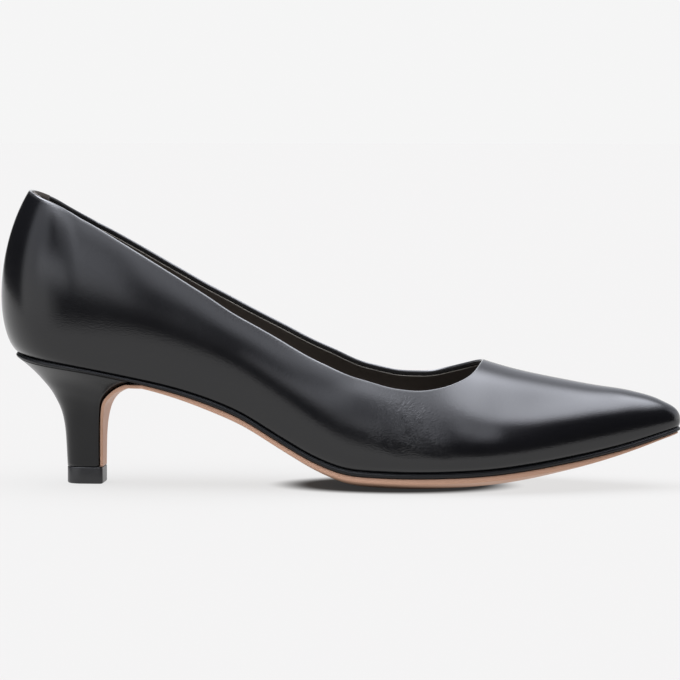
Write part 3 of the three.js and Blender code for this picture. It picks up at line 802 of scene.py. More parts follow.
class RibBuilder:
    """Makes the layers of the upper that lie at different depths in its wall."""

    def __init__(self, form: FootForm) -> None:
        """Lists the ribs in order round the shoe.

        Args:
            form: The form of the shoe.
        """
        self.form = form
        stations = form.stations
        outer = [(station, Side.OUTER) for station in reversed(stations)]
        inner = [(station, Side.INNER) for station in stations[1:]]
        self.order = outer + inner
        self.back = len(stations) - 1
        self.cache: dict[float, list[Section]] = {}

    def sections(self, inset: float) -> list[Section]:
        """Sections at a depth in the wall.

        Args:
            inset: Depth in the wall.

        Returns:
            The section of every rib, kept for the next call.
        """
        if inset not in self.cache:
            self.cache[inset] = [self.form.section(one, side, inset) for one, side in self.order]
        return self.cache[inset]

    def rim_line(self, inset: float) -> np.ndarray:
        """Line of the collar at a depth in the wall, from the throat round to the throat.

        Args:
            inset: Depth in the wall.

        Returns:
            The points of the line.
        """
        tops = [
            section.upper[-1]
            for (station, _), section in zip(self.order, self.sections(inset))
            if station.along <= self.form.sizes.throat + 1e-6
        ]
        return np.asarray(tops)

    def layer(self, inset: float, below: float, lower_steps: int, upper_steps: int) -> RibLayer:
        """One face of the upper.

        Args:
            inset: Depth in the wall.
            below: How far from the collar the face stops.
            lower_steps: Steps from the feather line to the widest place.
            upper_steps: Steps from there to the top.

        Returns:
            The rows of points and the range of ribs that end at the collar.
        """
        rim = self.rim_line(inset)
        rows = []
        cut = []
        for section in self.sections(inset):
            length = cut_length(section.upper, rim, below)
            whole = float(lengths_of(section.upper)[-1])
            lower = float(lengths_of(section.lower)[-1])
            low = along_line(section.lower, np.linspace(0.0, lower, lower_steps + 1))
            high = along_line(section.upper, np.linspace(0.0, length, upper_steps + 1))
            rows.append(np.concatenate([low[:-1], high]))
            cut.append(length < whole - 1e-6)
        first = cut.index(True) - 1
        last = len(cut) - cut[::-1].index(True)
        return RibLayer(np.asarray(rows), first, last)

    def bead(self, outside: RibLayer, inside: RibLayer, bulge: float, steps: int) -> np.ndarray:
        """Rounded edge that joins two faces round the collar.

        Args:
            outside: The outer face.
            inside: The inner face.
            bulge: Height of the edge as a share of half its thickness.
            steps: Steps round the edge.

        Returns:
            Rows of points from the outer to the inner face.
        """
        start = min(outside.first, inside.first)
        stop = max(outside.last, inside.last)
        out = outside.rows[start:stop, -1]
        low = inside.rows[start:stop, -1]
        way = np.roll(out, -1, axis=0) - np.roll(out, 1, axis=0)
        below = outside.rows[start:stop, -3]
        count = len(out)
        throat_ribs = 3
        rows = np.empty((count, steps + 1, 3))
        for i in range(count):
            middle = (out[i] + low[i]) / 2.0
            across = (out[i] - low[i]) / 2.0
            radius = float(np.linalg.norm(across))
            upward = unit(np.cross(way[i], across))
            if i <= throat_ribs or i >= count - throat_ribs:
                upward = self._towards_heel(upward)
            elif np.dot(upward, out[i] - below[i]) < 0:
                upward = -upward
            for j in range(steps + 1):
                angle = math.pi * j / steps
                rows[i, j] = middle + across * math.cos(angle) + upward * radius * bulge * math.sin(angle)
        return rows

    @staticmethod
    def _towards_heel(upward: np.ndarray) -> np.ndarray:
        """The way turned to the heel, which the collar's edge faces at the throat."""
        return -upward if upward[0] > 0 else upward

    def press(self, layer: RibLayer, creases: Sequence[Crease]) -> None:
        """Presses creases into a face, square to it.

        Args:
            layer: The face, which is changed.
            creases: The creases to press.
        """
        rows = layer.rows
        count = rows.shape[1]
        fade = 0.04
        moved = np.zeros(rows.shape[:2])
        for i, (station, side) in enumerate(self.order):
            height = float(lengths_of(rows[i])[-1])
            for crease in creases:
                if crease.side is not side:
                    continue
                low = min(crease.start[0], crease.end[0]) - fade
                high = max(crease.start[0], crease.end[0]) + fade
                if not low < station.along < high:
                    continue
                for j in range(count):
                    moved[i, j] += crease.offset(
                        station.along, j / (count - 1), height, self.form.sizes.feather_length
                    )
        layer.rows = rows + self._outward(rows) * moved[:, :, None]

    @staticmethod
    def _outward(rows: np.ndarray) -> np.ndarray:
        """Way out of a face at each of its points.

        Args:
            rows: Points of the face in rows.

        Returns:
            A vector of length one for each point.
        """
        normals = np.cross(np.gradient(rows, axis=0), np.gradient(rows, axis=1))
        sizes = np.linalg.norm(normals, axis=2, keepdims=True)
        normals = normals / np.maximum(1e-9, sizes)
        centre = rows.mean(axis=(0, 1))
        flip = np.sign(np.sum(normals * (rows - centre), axis=2, keepdims=True))
        return normals * np.where(flip == 0, 1.0, flip)


class Graph:
    """A node tree with short ways to add to it."""

    def __init__(self, tree: bpy.types.NodeTree) -> None:
        """Takes the tree that nodes are added to."""
        self.tree = tree

    def add(self, kind: str, **settings: object) -> bpy.types.Node:
        """Adds a node and sets its properties.

        Args:
            kind: Type of the node.
            settings: Its properties by name.

        Returns:
            The node.
        """
        node = self.tree.nodes.new(kind)
        for name, value in settings.items():
            setattr(node, name, value)
        return node

    def join(self, source: bpy.types.NodeSocket, target: bpy.types.NodeSocket) -> None:
        """Links an output to an input."""
        self.tree.links.new(source, target)

    def feed(self, socket: bpy.types.NodeSocket, value: object) -> None:
        """Sets an input to a number or links it to an output.

        Args:
            socket: The input.
            value: A number, a vector or an output.
        """
        if isinstance(value, bpy.types.NodeSocket):
            self.join(value, socket)
        else:
            socket.default_value = value

    def math(self, operation: str, *values: object) -> bpy.types.NodeSocket:
        """Adds a math node and returns its result.

        Args:
            operation: Name of the operation.
            values: A number or an output for each input.

        Returns:
            The output.
        """
        node = self.add("ShaderNodeMath", operation=operation)
        for socket, value in zip(node.inputs, values):
            self.feed(socket, value)
        return node.outputs[0]

    def product(self, *values: object) -> bpy.types.NodeSocket:
        """Multiplies two or more values.

        Args:
            values: Numbers or outputs.

        Returns:
            The output.
        """
        result = values[0]
        for value in values[1:]:
            result = self.math("MULTIPLY", result, value)
        return result

    def fit(
        self, value: object, low: float, high: float, to_low: float = 0.0, to_high: float = 1.0
    ) -> bpy.types.NodeSocket:
        """Maps a value smoothly from one range to another, and holds it at the ends.

        Args:
            value: The value to map.
            low: Where the first range starts.
            high: Where it ends.
            to_low: Result at its start.
            to_high: Result at its end.

        Returns:
            The output.
        """
        node = self.add("ShaderNodeMapRange", interpolation_type="SMOOTHSTEP", clamp=True)
        for name, given in (
            ("Value", value),
            ("From Min", low),
            ("From Max", high),
            ("To Min", to_low),
            ("To Max", to_high),
        ):
            self.feed(node.inputs[name], given)
        return node.outputs["Result"]

    def noise(
        self, vector: object, scale: float, detail: float, rough: float = 0.5
    ) -> bpy.types.NodeSocket:
        """Adds a noise texture and returns its value.

        Args:
            vector: Place to read the noise at.
            scale: Waves for each metre.
            detail: How many finer layers are added.
            rough: Strength of each finer layer.

        Returns:
            The output.
        """
        node = self.add("ShaderNodeTexNoise")
        self.feed(node.inputs["Vector"], vector)
        node.inputs["Scale"].default_value = scale
        node.inputs["Detail"].default_value = detail
        node.inputs["Roughness"].default_value = rough
        return node.outputs["Fac"]

    def mix(self, factor: object, first: object, second: object) -> bpy.types.NodeSocket:
        """Mixes two colours.

        Args:
            factor: 0 for the first colour and 1 for the second.
            first: A colour.
            second: A colour.

        Returns:
            The output.
        """
        node = self.add("ShaderNodeMix", data_type="RGBA")
        self.feed(node.inputs["Factor"], factor)
        self.feed(node.inputs[6], first)
        self.feed(node.inputs[7], second)
        return node.outputs[2]

    def vectors(self, operation: str, first: object, second: object) -> bpy.types.NodeSocket:
        """Adds a vector math node for two vectors and returns its vector.

        Args:
            operation: Name of the operation.
            first: A vector.
            second: A vector.

        Returns:
            The output.
        """
        node = self.add("ShaderNodeVectorMath", operation=operation)
        self.feed(node.inputs[0], first)
        self.feed(node.inputs[1], second)
        return node.outputs["Vector"]

    def scaled(self, vector: object, scale: Sequence[float]) -> bpy.types.NodeSocket:
        """Stretches a vector along its axes."""
        return self.vectors("MULTIPLY", vector, scale)

    def length(self, vector: object) -> bpy.types.NodeSocket:
        """Length of a vector.

        Args:
            vector: The vector.

        Returns:
            The output.
        """
        node = self.add("ShaderNodeVectorMath", operation="LENGTH")
        self.feed(node.inputs[0], vector)
        return node.outputs["Value"]


class GroupName(Enum):
    """The shader node groups that more than one finish uses."""

    GRAIN = "fine_grain"
    FLEX = "flex_wrinkles"
    WEAR = "soft_wear"


def new_group(name: GroupName, inputs: dict[str, object], outputs: Sequence[str]) -> Graph:
    """Starts a shader node group that works on a place and puts out plain values.

    Args:
        name: Name of the group.
        inputs: Names of the inputs after the place, each with its usual value.
        outputs: Names of the values that it puts out.

    Returns:
        The group's graph, with its input and output nodes added first.
    """
    tree = bpy.data.node_groups.new(name.value, "ShaderNodeTree")
    tree.interface.new_socket("Place", in_out="INPUT", socket_type="NodeSocketVector")
    for label, usual in inputs.items():
        kind = "NodeSocketFloat" if isinstance(usual, float) else "NodeSocketVector"
        socket = tree.interface.new_socket(label, in_out="INPUT", socket_type=kind)
        socket.default_value = usual
    for label in outputs:
        tree.interface.new_socket(label, in_out="OUTPUT", socket_type="NodeSocketFloat")
    graph = Graph(tree)
    graph.add("NodeGroupInput")
    graph.add("NodeGroupOutput")
    return graph


def grain_group() -> bpy.types.NodeTree:
    """Height of fine smooth leather grain.

    Returns:
        The group, with its scale as an input.
    """
    graph = new_group(GroupName.GRAIN, {"Scale": 1500.0}, ["Height"])
    given, result = graph.tree.nodes[0], graph.tree.nodes[1]
    place = given.outputs["Place"]
    cells = graph.add("ShaderNodeTexVoronoi", feature="SMOOTH_F1")
    graph.join(place, cells.inputs["Vector"])
    graph.join(given.outputs["Scale"], cells.inputs["Scale"])
    cells.inputs["Smoothness"].default_value = 0.6
    cells.inputs["Randomness"].default_value = 1.0
    dome = graph.fit(cells.outputs["Distance"], 0.0, 0.75, 1.0, 0.0)
    fine = graph.noise(place, 5200.0, 3.0)
    height = graph.math("ADD", graph.product(dome, 0.7), graph.product(fine, 0.3))
    graph.join(height, result.inputs["Height"])
    return graph.tree


def flex_group() -> bpy.types.NodeTree:
    """Height of the small wrinkles round the place where the shoe bends.

    Returns:
        The group, with the middle of the place and its reach as inputs.
    """
    usual = {"Centre": (0.032, -0.036, 0.0275), "Reach": 0.019}
    graph = new_group(GroupName.FLEX, usual, ["Height"])
    given, result = graph.tree.nodes[0], graph.tree.nodes[1]
    place = given.outputs["Place"]
    mask = flex_mask(graph, place, given.outputs["Centre"], given.outputs["Reach"])
    bend = graph.add("ShaderNodeTexNoise")
    bend.inputs["Scale"].default_value = 160.0
    bend.inputs["Detail"].default_value = 2.0
    graph.join(place, bend.inputs["Vector"])
    push = graph.scaled(bend.outputs["Color"], (0.006, 0.006, 0.006))
    turn = graph.add("ShaderNodeVectorRotate", rotation_type="Y_AXIS")
    graph.join(graph.vectors("ADD", place, push), turn.inputs["Vector"])
    turn.inputs["Angle"].default_value = math.radians(24.0)
    slim = graph.scaled(turn.outputs[0], (0.45, 0.5, 1.0))
    lines = graph.add("ShaderNodeTexVoronoi", feature="DISTANCE_TO_EDGE")
    graph.join(slim, lines.inputs["Vector"])
    lines.inputs["Scale"].default_value = 1150.0
    folds = graph.fit(lines.outputs["Distance"], 0.0, 0.32)
    soft = graph.noise(slim, 900.0, 2.0)
    height = graph.math("ADD", graph.product(folds, 0.7), graph.product(soft, 0.35))
    graph.join(graph.product(height, mask), result.inputs["Height"])
    return graph.tree


def flex_mask(
    graph: Graph, place: bpy.types.NodeSocket, centre: bpy.types.NodeSocket, reach: bpy.types.NodeSocket
) -> bpy.types.NodeSocket:
    """Ragged patch round the place where the shoe bends, 1 inside and 0 outside.

    Args:
        graph: Nodes of the group.
        place: Place on the leather.
        centre: Middle of the patch.
        reach: How far the patch reaches.

    Returns:
        The mask.
    """
    away = graph.scaled(graph.vectors("SUBTRACT", place, centre), (0.75, 0.35, 1.15))
    share = graph.math("DIVIDE", graph.length(away), reach)
    ragged = graph.math("SUBTRACT", graph.noise(place, 90.0, 2.0), 0.5)
    share = graph.math("ADD", share, graph.product(ragged, 0.8))
    return graph.fit(share, 0.15, 1.0, 1.0, 0.0)


def wear_group() -> bpy.types.NodeTree:
    """Broad unevenness of a finish, and sparse small marks.

    Returns:
        The group.
    """
    graph = new_group(GroupName.WEAR, {}, ["Broad", "Marks"])
    given, result = graph.tree.nodes[0], graph.tree.nodes[1]
    place = given.outputs["Place"]
    large = graph.noise(place, 38.0, 3.0, 0.55)
    small = graph.noise(place, 260.0, 4.0, 0.6)
    broad = graph.math("ADD", graph.product(large, 0.65), graph.product(small, 0.35))
    graph.join(broad, result.inputs["Broad"])
    streak = graph.scaled(place, (0.35, 1.0, 1.4))
    marks = graph.fit(graph.noise(streak, 420.0, 5.0, 0.7), 0.66, 0.78)
    patch = graph.fit(graph.noise(place, 60.0, 1.0), 0.5, 0.7)
    graph.join(graph.product(marks, patch), result.inputs["Marks"])
    return graph.tree


GROUP_MAKERS: dict[GroupName, Callable[[], bpy.types.NodeTree]] = {
    GroupName.GRAIN: grain_group,
    GroupName.FLEX: flex_group,
    GroupName.WEAR: wear_group,
}


def shared_group(name: GroupName) -> bpy.types.NodeTree:
    """The node group of that name, made on first use."""
    tree = bpy.data.node_groups.get(name.value)
    return tree if tree is not None else GROUP_MAKERS[name]()


@dataclass(frozen=True)
class Finish:
    """A leather or rubber finish.

    Colours are linear. Depths of the bump are in millimetres and scales per metre.
    """

    name: str
    colour: tuple[float, float, float]
    shade: tuple[float, float, float]
    roughness: float
    roughness_spread: float
    specular: float
    grain_scale: float
    grain_depth: float
    coat: float = 0.0
    coat_roughness: float = 0.2
    flex_depth: float = 0.0
    mark_strength: float = 0.0
    sheen: float = 0.0
    fold_painted_highlight: float = 0.0

    def material(self) -> bpy.types.Material:
        """Makes the material.

        Returns:
            The material, or the one made before under the same name.
        """
        made = bpy.data.materials.get(self.name)
        if made is not None:
            return made
        made = bpy.data.materials.new(self.name)
        made.use_nodes = True
        made.diffuse_color = (*self.colour, 1.0)
        graph = Graph(made.node_tree)
        shader = made.node_tree.nodes["Principled BSDF"]
        place = graph.add("ShaderNodeTexCoord").outputs["Object"]
        wear = graph.add("ShaderNodeGroup", node_tree=shared_group(GroupName.WEAR))
        graph.join(place, wear.inputs["Place"])
        shader.inputs["Specular IOR Level"].default_value = self.specular
        shader.inputs["Coat Weight"].default_value = self.coat
        shader.inputs["Coat Roughness"].default_value = self.coat_roughness
        shader.inputs["Sheen Weight"].default_value = self.sheen
        tone = self._tone(graph, wear)
        # The fold gets more coat and a painted highlight as a paler colour.
        if self.fold_painted_highlight > 0:
            tone = self._gloss_and_paint_fold_highlight(graph, shader, tone)
        graph.join(tone, shader.inputs["Base Color"])
        low = max(0.02, self.roughness - self.roughness_spread)
        high = self.roughness + self.roughness_spread
        graph.join(graph.fit(wear.outputs["Broad"], 0.3, 0.7, low, high), shader.inputs["Roughness"])
        normal = self._bump(graph, place)
        graph.join(normal, shader.inputs["Normal"])
        if self.coat > 0:
            graph.join(normal, shader.inputs["Coat Normal"])
        return made

    def _tone(self, graph: Graph, wear: bpy.types.Node) -> bpy.types.NodeSocket:
        """Colour of the finish with its broad unevenness and its small marks.

        Args:
            graph: The material's nodes.
            wear: Its wear group.

        Returns:
            The colour.
        """
        tone = graph.mix(wear.outputs["Broad"], (*self.shade, 1.0), (*self.colour, 1.0))
        if self.mark_strength <= 0:
            return tone
        paler = 2.2
        least = 0.03
        lit = tuple(min(1.0, value * paler + least) for value in self.colour)
        return graph.mix(graph.product(wear.outputs["Marks"], self.mark_strength), tone, (*lit, 1.0))

    def _gloss_and_paint_fold_highlight(
        self, graph: Graph, shader: bpy.types.Node, tone: bpy.types.NodeSocket
    ) -> bpy.types.NodeSocket:
        """Makes the marked fold glossier, and paints a highlight on it as a paler colour.

        Args:
            graph: The material's nodes.
            shader: Its shader, whose coat is set here.
            tone: Colour of the leather away from the fold.

        Returns:
            The colour with the paler fold.
        """
        fold_coat = 0.6
        lift = 0.16
        fold = graph.add("ShaderNodeAttribute", attribute_name=FOLD_MARK).outputs["Fac"]
        graph.join(graph.fit(fold, 0.0, 1.0, self.coat, fold_coat), shader.inputs["Coat Weight"])
        # Paler colour of the fold: a painted highlight.
        pale = tuple(value + lift for value in self.colour)
        return graph.mix(graph.product(fold, self.fold_painted_highlight), tone, (*pale, 1.0))

    def _bump(self, graph: Graph, place: bpy.types.NodeSocket) -> bpy.types.NodeSocket:
        """Grain and wrinkles of the finish as a normal.

        Args:
            graph: The material's nodes.
            place: Place on the piece.

        Returns:
            The normal.
        """
        grain = graph.add("ShaderNodeGroup", node_tree=shared_group(GroupName.GRAIN))
        graph.join(place, grain.inputs["Place"])
        grain.inputs["Scale"].default_value = self.grain_scale
        pores = self._raise(graph, grain, self.grain_depth)
        if self.flex_depth <= 0:
            return pores.outputs["Normal"]
        flex = graph.add("ShaderNodeGroup", node_tree=shared_group(GroupName.FLEX))
        graph.join(place, flex.inputs["Place"])
        folds = self._raise(graph, flex, self.flex_depth)
        graph.join(pores.outputs["Normal"], folds.inputs["Normal"])
        return folds.outputs["Normal"]

    @staticmethod
    def _raise(graph: Graph, relief: bpy.types.Node, depth: float) -> bpy.types.Node:
        """Bump node for a relief of some depth in millimetres.

        Args:
            graph: The material's nodes.
            relief: Group that gives the height.
            depth: Full depth.

        Returns:
            The bump node.
        """
        bump = graph.add("ShaderNodeBump")
        bump.inputs["Strength"].default_value = 1.0
        bump.inputs["Distance"].default_value = depth * MILLIMETRE
        graph.join(relief.outputs["Height"], bump.inputs["Height"])
        return bump


UPPER_LEATHER = Finish(
    name="black_calf_leather",
    colour=(0.0055, 0.0055, 0.0062),
    shade=(0.0035, 0.0035, 0.0042),
    roughness=0.18,
    roughness_spread=0.015,
    specular=0.5,
    grain_scale=1700.0,
    grain_depth=0.016,
    coat=0.12,
    coat_roughness=0.12,
    flex_depth=0.042,
    mark_strength=0.03,
    # Strength of the highlight painted on the collar's fold.
    fold_painted_highlight=0.3,
)
HEEL_LEATHER = Finish(
    name="black_heel_cover",
    colour=(0.005, 0.005, 0.0055),
    shade=(0.003, 0.003, 0.0035),
    roughness=0.24,
    roughness_spread=0.03,
    specular=0.34,
    grain_scale=1900.0,
    grain_depth=0.009,
    coat=0.1,
    coat_roughness=0.18,
)
RAND_LEATHER = Finish(
    name="black_rand",
    colour=(0.006, 0.0065, 0.008),
    shade=(0.004, 0.0045, 0.0055),
    roughness=0.36,
    roughness_spread=0.04,
    specular=0.28,
    grain_scale=2200.0,
    grain_depth=0.008,
)
SOLE_LEATHER = Finish(
    name="tan_sole",
    colour=(0.56, 0.33, 0.225),
    shade=(0.48, 0.275, 0.18),
    roughness=0.5,
    roughness_spread=0.06,
    specular=0.42,
    grain_scale=2600.0,
    grain_depth=0.01,
)
LINING_LEATHER = Finish(
    name="dark_lining",
    colour=(0.07, 0.056, 0.042),
    shade=(0.054, 0.043, 0.032),
    roughness=0.62,
    roughness_spread=0.05,
    specular=0.4,
    grain_scale=2300.0,
    grain_depth=0.02,
    sheen=0.05,
)
# Cut edge of the lining: its pale colour is partly the raw edge's own and partly a painted highlight.
LINING_EDGE_AND_HIGHLIGHT = Finish(
    name="lining_cut_edge_painted_highlight",
    colour=(0.24, 0.22, 0.19),
    shade=(0.18, 0.165, 0.14),
    roughness=0.75,
    roughness_spread=0.05,
    specular=0.3,
    grain_scale=3000.0,
    grain_depth=0.02,
)
SOCK_LEATHER = Finish(
    name="dark_sock",
    colour=(0.04, 0.034, 0.027),
    shade=(0.03, 0.025, 0.02),
    roughness=0.58,
    roughness_spread=0.06,
    specular=0.4,
    grain_scale=1600.0,
    grain_depth=0.03,
)
TIP_RUBBER = Finish(
    name="black_tip",
    colour=(0.02, 0.02, 0.021),
    shade=(0.015, 0.015, 0.016),
    roughness=0.34,
    roughness_spread=0.05,
    specular=0.5,
    grain_scale=2600.0,
    grain_depth=0.008,
)


@dataclass(frozen=True)
class Berth:
    """Where a piece belongs: the CAD nodes that it stands for and its material slot."""

    slot: str
    nodes: tuple[str, ...] = ()


def settle(piece: bpy.types.Object, finish: Finish, berth: Berth) -> bpy.types.Object:
    """Gives a piece its finish and its place in the frame.

    Args:
        piece: The finished mesh object.
        finish: Its finish.
        berth: Its slot and the nodes that it stands for.

    Returns:
        The same piece.
    """
    piece.data.materials.clear()
    piece.data.materials.append(finish.material())
    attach(piece, "root")
    if berth.nodes:
        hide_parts(*berth.nodes)
    log.info("piece %s: %d faces, slot %s", piece.name, len(piece.data.polygons), berth.slot)
    return piece


@dataclass
class Upper:
    """The leather upper: one wall with its folded collar and its creases."""

    ribs: RibBuilder
    shift: np.ndarray
    wall: float = 1.25
    below_collar: float = 0.35
    fold_steps: int = 10
    # Width and fade of the fold that carries the painted highlight.
    fold_width: float = 1.1
    fold_fade: float = 0.4

    def build(self) -> bpy.types.Object:
        """Makes the upper.

        Returns:
            The closed mesh.
        """
        outside = self.ribs.layer(0.0, self.below_collar, lower_steps=14, upper_steps=46)
        inside = self.ribs.layer(self.wall, self.below_collar, lower_steps=6, upper_steps=16)
        self.ribs.press(outside, CREASES)
        maker = MeshMaker("upper_leather", self.shift)
        maker.grid(outside.rows)
        maker.grid(inside.rows, flipped=True)
        foot = np.stack([inside.rows[:, 0], outside.rows[:, 0]], axis=1)
        maker.grid(foot)
        bead = self.ribs.bead(outside, inside, 1.0, self.fold_steps)
        maker.grid(bead, closed=True)
        piece = maker.build()
        self._mark_fold(piece, bead[:, self.fold_steps // 2])
        return settle(piece, UPPER_LEATHER, Berth("upper_leather", ("upper",)))

    def _mark_fold(self, piece: bpy.types.Object, crest: np.ndarray) -> None:
        """Stores on each vertex how far it belongs to the fold of the collar, which is glossier and
        carries a painted highlight.

        Args:
            piece: The upper.
            crest: Loop of the highest points of the fold.
        """
        loop = np.concatenate([crest, crest[:1]])
        step = 0.5
        stops = np.arange(0.0, lengths_of(loop)[-1], step)
        vertices = piece.data.vertices
        places = np.empty(len(vertices) * 3)
        vertices.foreach_get("co", places)
        places = places.reshape(-1, 3) / MILLIMETRE - self.shift
        near = np.full(len(vertices), np.inf)
        for point in along_line(loop, stops):
            near = np.minimum(near, np.linalg.norm(places - point, axis=1))
        marks = piece.data.attributes.new(FOLD_MARK, "FLOAT", "POINT")
        marks.data.foreach_set("value", np.clip((self.fold_width - near) / self.fold_fade, 0.0, 1.0))


@dataclass
class Lining:
    """The lining inside the upper and the cut edge along its top, whose pale colour is partly its own and
    partly a painted highlight.
    """

    ribs: RibBuilder
    shift: np.ndarray
    outer_depth: float = 1.3
    inner_depth: float = 1.8
    below_collar: float = 1.7
    edge_radius: float = 0.2

    def build(self) -> list[bpy.types.Object]:
        """Makes the lining and its edge.

        Returns:
            The two pieces.
        """
        outside = self.ribs.layer(self.outer_depth, self.below_collar, lower_steps=6, upper_steps=18)
        inside = self.ribs.layer(self.inner_depth, self.below_collar, lower_steps=6, upper_steps=18)
        maker = MeshMaker("lining", self.shift)
        maker.grid(outside.rows)
        maker.grid(inside.rows, flipped=True)
        foot = np.stack([inside.rows[:, 0], outside.rows[:, 0]], axis=1)
        maker.grid(foot)
        maker.grid(self.ribs.bead(outside, inside, 0.6, 4), closed=True)
        lining = settle(maker.build(), LINING_LEATHER, Berth("lining_leather"))
        path = outside.rim() * 0.25 + self._matching(inside, outside) * 0.75
        edge = sweep("lining_edge", path + self.shift, self.edge_radius, LINING_EDGE_AND_HIGHLIGHT, closed=True)
        return [lining, settle(edge, LINING_EDGE_AND_HIGHLIGHT, Berth("lining_leather"))]

    @staticmethod
    def _matching(inside: RibLayer, outside: RibLayer) -> np.ndarray:
        """Top points of the inner face at the ribs of the outer face's collar."""
        return inside.rows[outside.first : outside.last, -1]


def sweep_tree() -> bpy.types.NodeTree:
    """Geometry Nodes tree that turns a line of points into a round strip.

    Returns:
        The tree, whose inputs are radius, corners round the strip and material.
    """
    tree = bpy.data.node_groups.get("round_strip")
    if tree is not None:
        return tree
    tree = bpy.data.node_groups.new("round_strip", "GeometryNodeTree")
    face = tree.interface
    face.new_socket("Geometry", in_out="INPUT", socket_type="NodeSocketGeometry")
    radius = face.new_socket("Radius", in_out="INPUT", socket_type="NodeSocketFloat")
    radius.default_value = 0.001
    around = face.new_socket("Around", in_out="INPUT", socket_type="NodeSocketInt")
    around.default_value = 12
    face.new_socket("Material", in_out="INPUT", socket_type="NodeSocketMaterial")
    face.new_socket("Geometry", in_out="OUTPUT", socket_type="NodeSocketGeometry")
    graph = Graph(tree)
    given = graph.add("NodeGroupInput")
    result = graph.add("NodeGroupOutput")
    line = graph.add("GeometryNodeMeshToCurve")
    graph.join(given.outputs["Geometry"], line.inputs["Mesh"])
    thick = graph.add("GeometryNodeInputNamedAttribute", data_type="FLOAT")
    thick.inputs["Name"].default_value = "thick"
    size = graph.add("ShaderNodeMath", operation="MULTIPLY")
    graph.join(thick.outputs["Attribute"], size.inputs[0])
    graph.join(given.outputs["Radius"], size.inputs[1])
    ring = graph.add("GeometryNodeCurvePrimitiveCircle")
    ring.inputs["Radius"].default_value = 1.0
    graph.join(given.outputs["Around"], ring.inputs["Resolution"])
    strip = graph.add("GeometryNodeCurveToMesh")
    graph.join(line.outputs["Curve"], strip.inputs["Curve"])
    graph.join(size.outputs[0], strip.inputs["Scale"])
    graph.join(ring.outputs["Curve"], strip.inputs["Profile Curve"])
    strip.inputs["Fill Caps"].default_value = True
    soft = graph.add("GeometryNodeSetShadeSmooth")
    graph.join(strip.outputs["Mesh"], soft.inputs["Geometry"])
    real = graph.add("GeometryNodeRealizeInstances")
    graph.join(soft.outputs["Geometry"], real.inputs["Geometry"])
    dressed = graph.add("GeometryNodeSetMaterial")
    graph.join(real.outputs["Geometry"], dressed.inputs["Geometry"])
    graph.join(given.outputs["Material"], dressed.inputs["Material"])
    graph.join(dressed.outputs["Geometry"], result.inputs["Geometry"])
    return tree


def sweep(
    name: str,
    path: np.ndarray,
    radius: float,
    finish: Finish,
    closed: bool,
    thick: Optional[np.ndarray] = None,
    around: int = 12,
) -> bpy.types.Object:
    """Round strip along a line of points, made with Geometry Nodes.

    Args:
        name: Name of the piece.
        path: Points of the line in millimetres, in the shoe's own frame.
        radius: Radius in millimetres.
        finish: Finish of the strip.
        closed: True to join the last point to the first.
        thick: Share of the radius at each point.
        around: Corners round the strip.

    Returns:
        The plain mesh object, linked to the scene.
    """
    count = len(path)
    tree = sweep_tree()
    edges = [(i, i + 1) for i in range(count - 1)]
    if closed:
        edges.append((count - 1, 0))
    mesh = bpy.data.meshes.new(name + "_path")
    mesh.from_pydata([tuple(point * MILLIMETRE) for point in path], edges, [])
    shares = mesh.attributes.new("thick", "FLOAT", "POINT")
    values = np.ones(count) if thick is None else np.asarray(thick)
    shares.data.foreach_set("value", values.astype(np.float32))
    carrier = bpy.data.objects.new(name + "_path", mesh)
    bpy.context.scene.collection.objects.link(carrier)
    modifier = carrier.modifiers.new("strip", "NODES")
    modifier.node_group = tree
    sockets = {item.name: item.identifier for item in tree.interface.items_tree if item.in_out == "INPUT"}
    modifier[sockets["Radius"]] = radius * MILLIMETRE
    modifier[sockets["Around"]] = around
    modifier[sockets["Material"]] = finish.material()
    graph = bpy.context.evaluated_depsgraph_get()
    result = bpy.data.meshes.new_from_object(carrier.evaluated_get(graph))
    carrier.modifiers.remove(modifier)
    bpy.data.objects.remove(carrier)
    result.name = name
    close_surface(result)
    made = bpy.data.objects.new(name, result)
    bpy.context.scene.collection.objects.link(made)
    return made


def close_surface(mesh: bpy.types.Mesh) -> None:
    """Joins double points and turns the faces outward.

    Args:
        mesh: The mesh, which is changed.
    """
    work = bmesh.new()
    work.from_mesh(mesh)
    bmesh.ops.remove_doubles(work, verts=work.verts, dist=1e-6)
    bmesh.ops.recalc_face_normals(work, faces=work.faces)
    for face in work.faces:
        face.smooth = True
    work.to_mesh(mesh)
    work.free()


def edge_round(
    top: np.ndarray, bottom: np.ndarray, out: np.ndarray, bulge: float, power: float
) -> list[np.ndarray]:
    """Points round an edge from its top to its bottom.

    Args:
        top: Top corner.
        bottom: Bottom corner.
        out: Outward way of the edge.
        bulge: How far the edge stands out past its corners.
        power: Squareness of the edge, 2 for a half round.

    Returns:
        The points between the two corners, without them.
    """
    steps = 8
    points = []
    for i in range(1, steps):
        angle = math.pi * i / steps
        cosine = math.cos(angle)
        sine = math.sin(angle)
        down = 0.5 - 0.5 * math.copysign(abs(cosine) ** (2.0 / power), cosine)
        reach = abs(sine) ** (2.0 / power)
        points.append(top + (bottom - top) * down + out * bulge * reach)
    return points


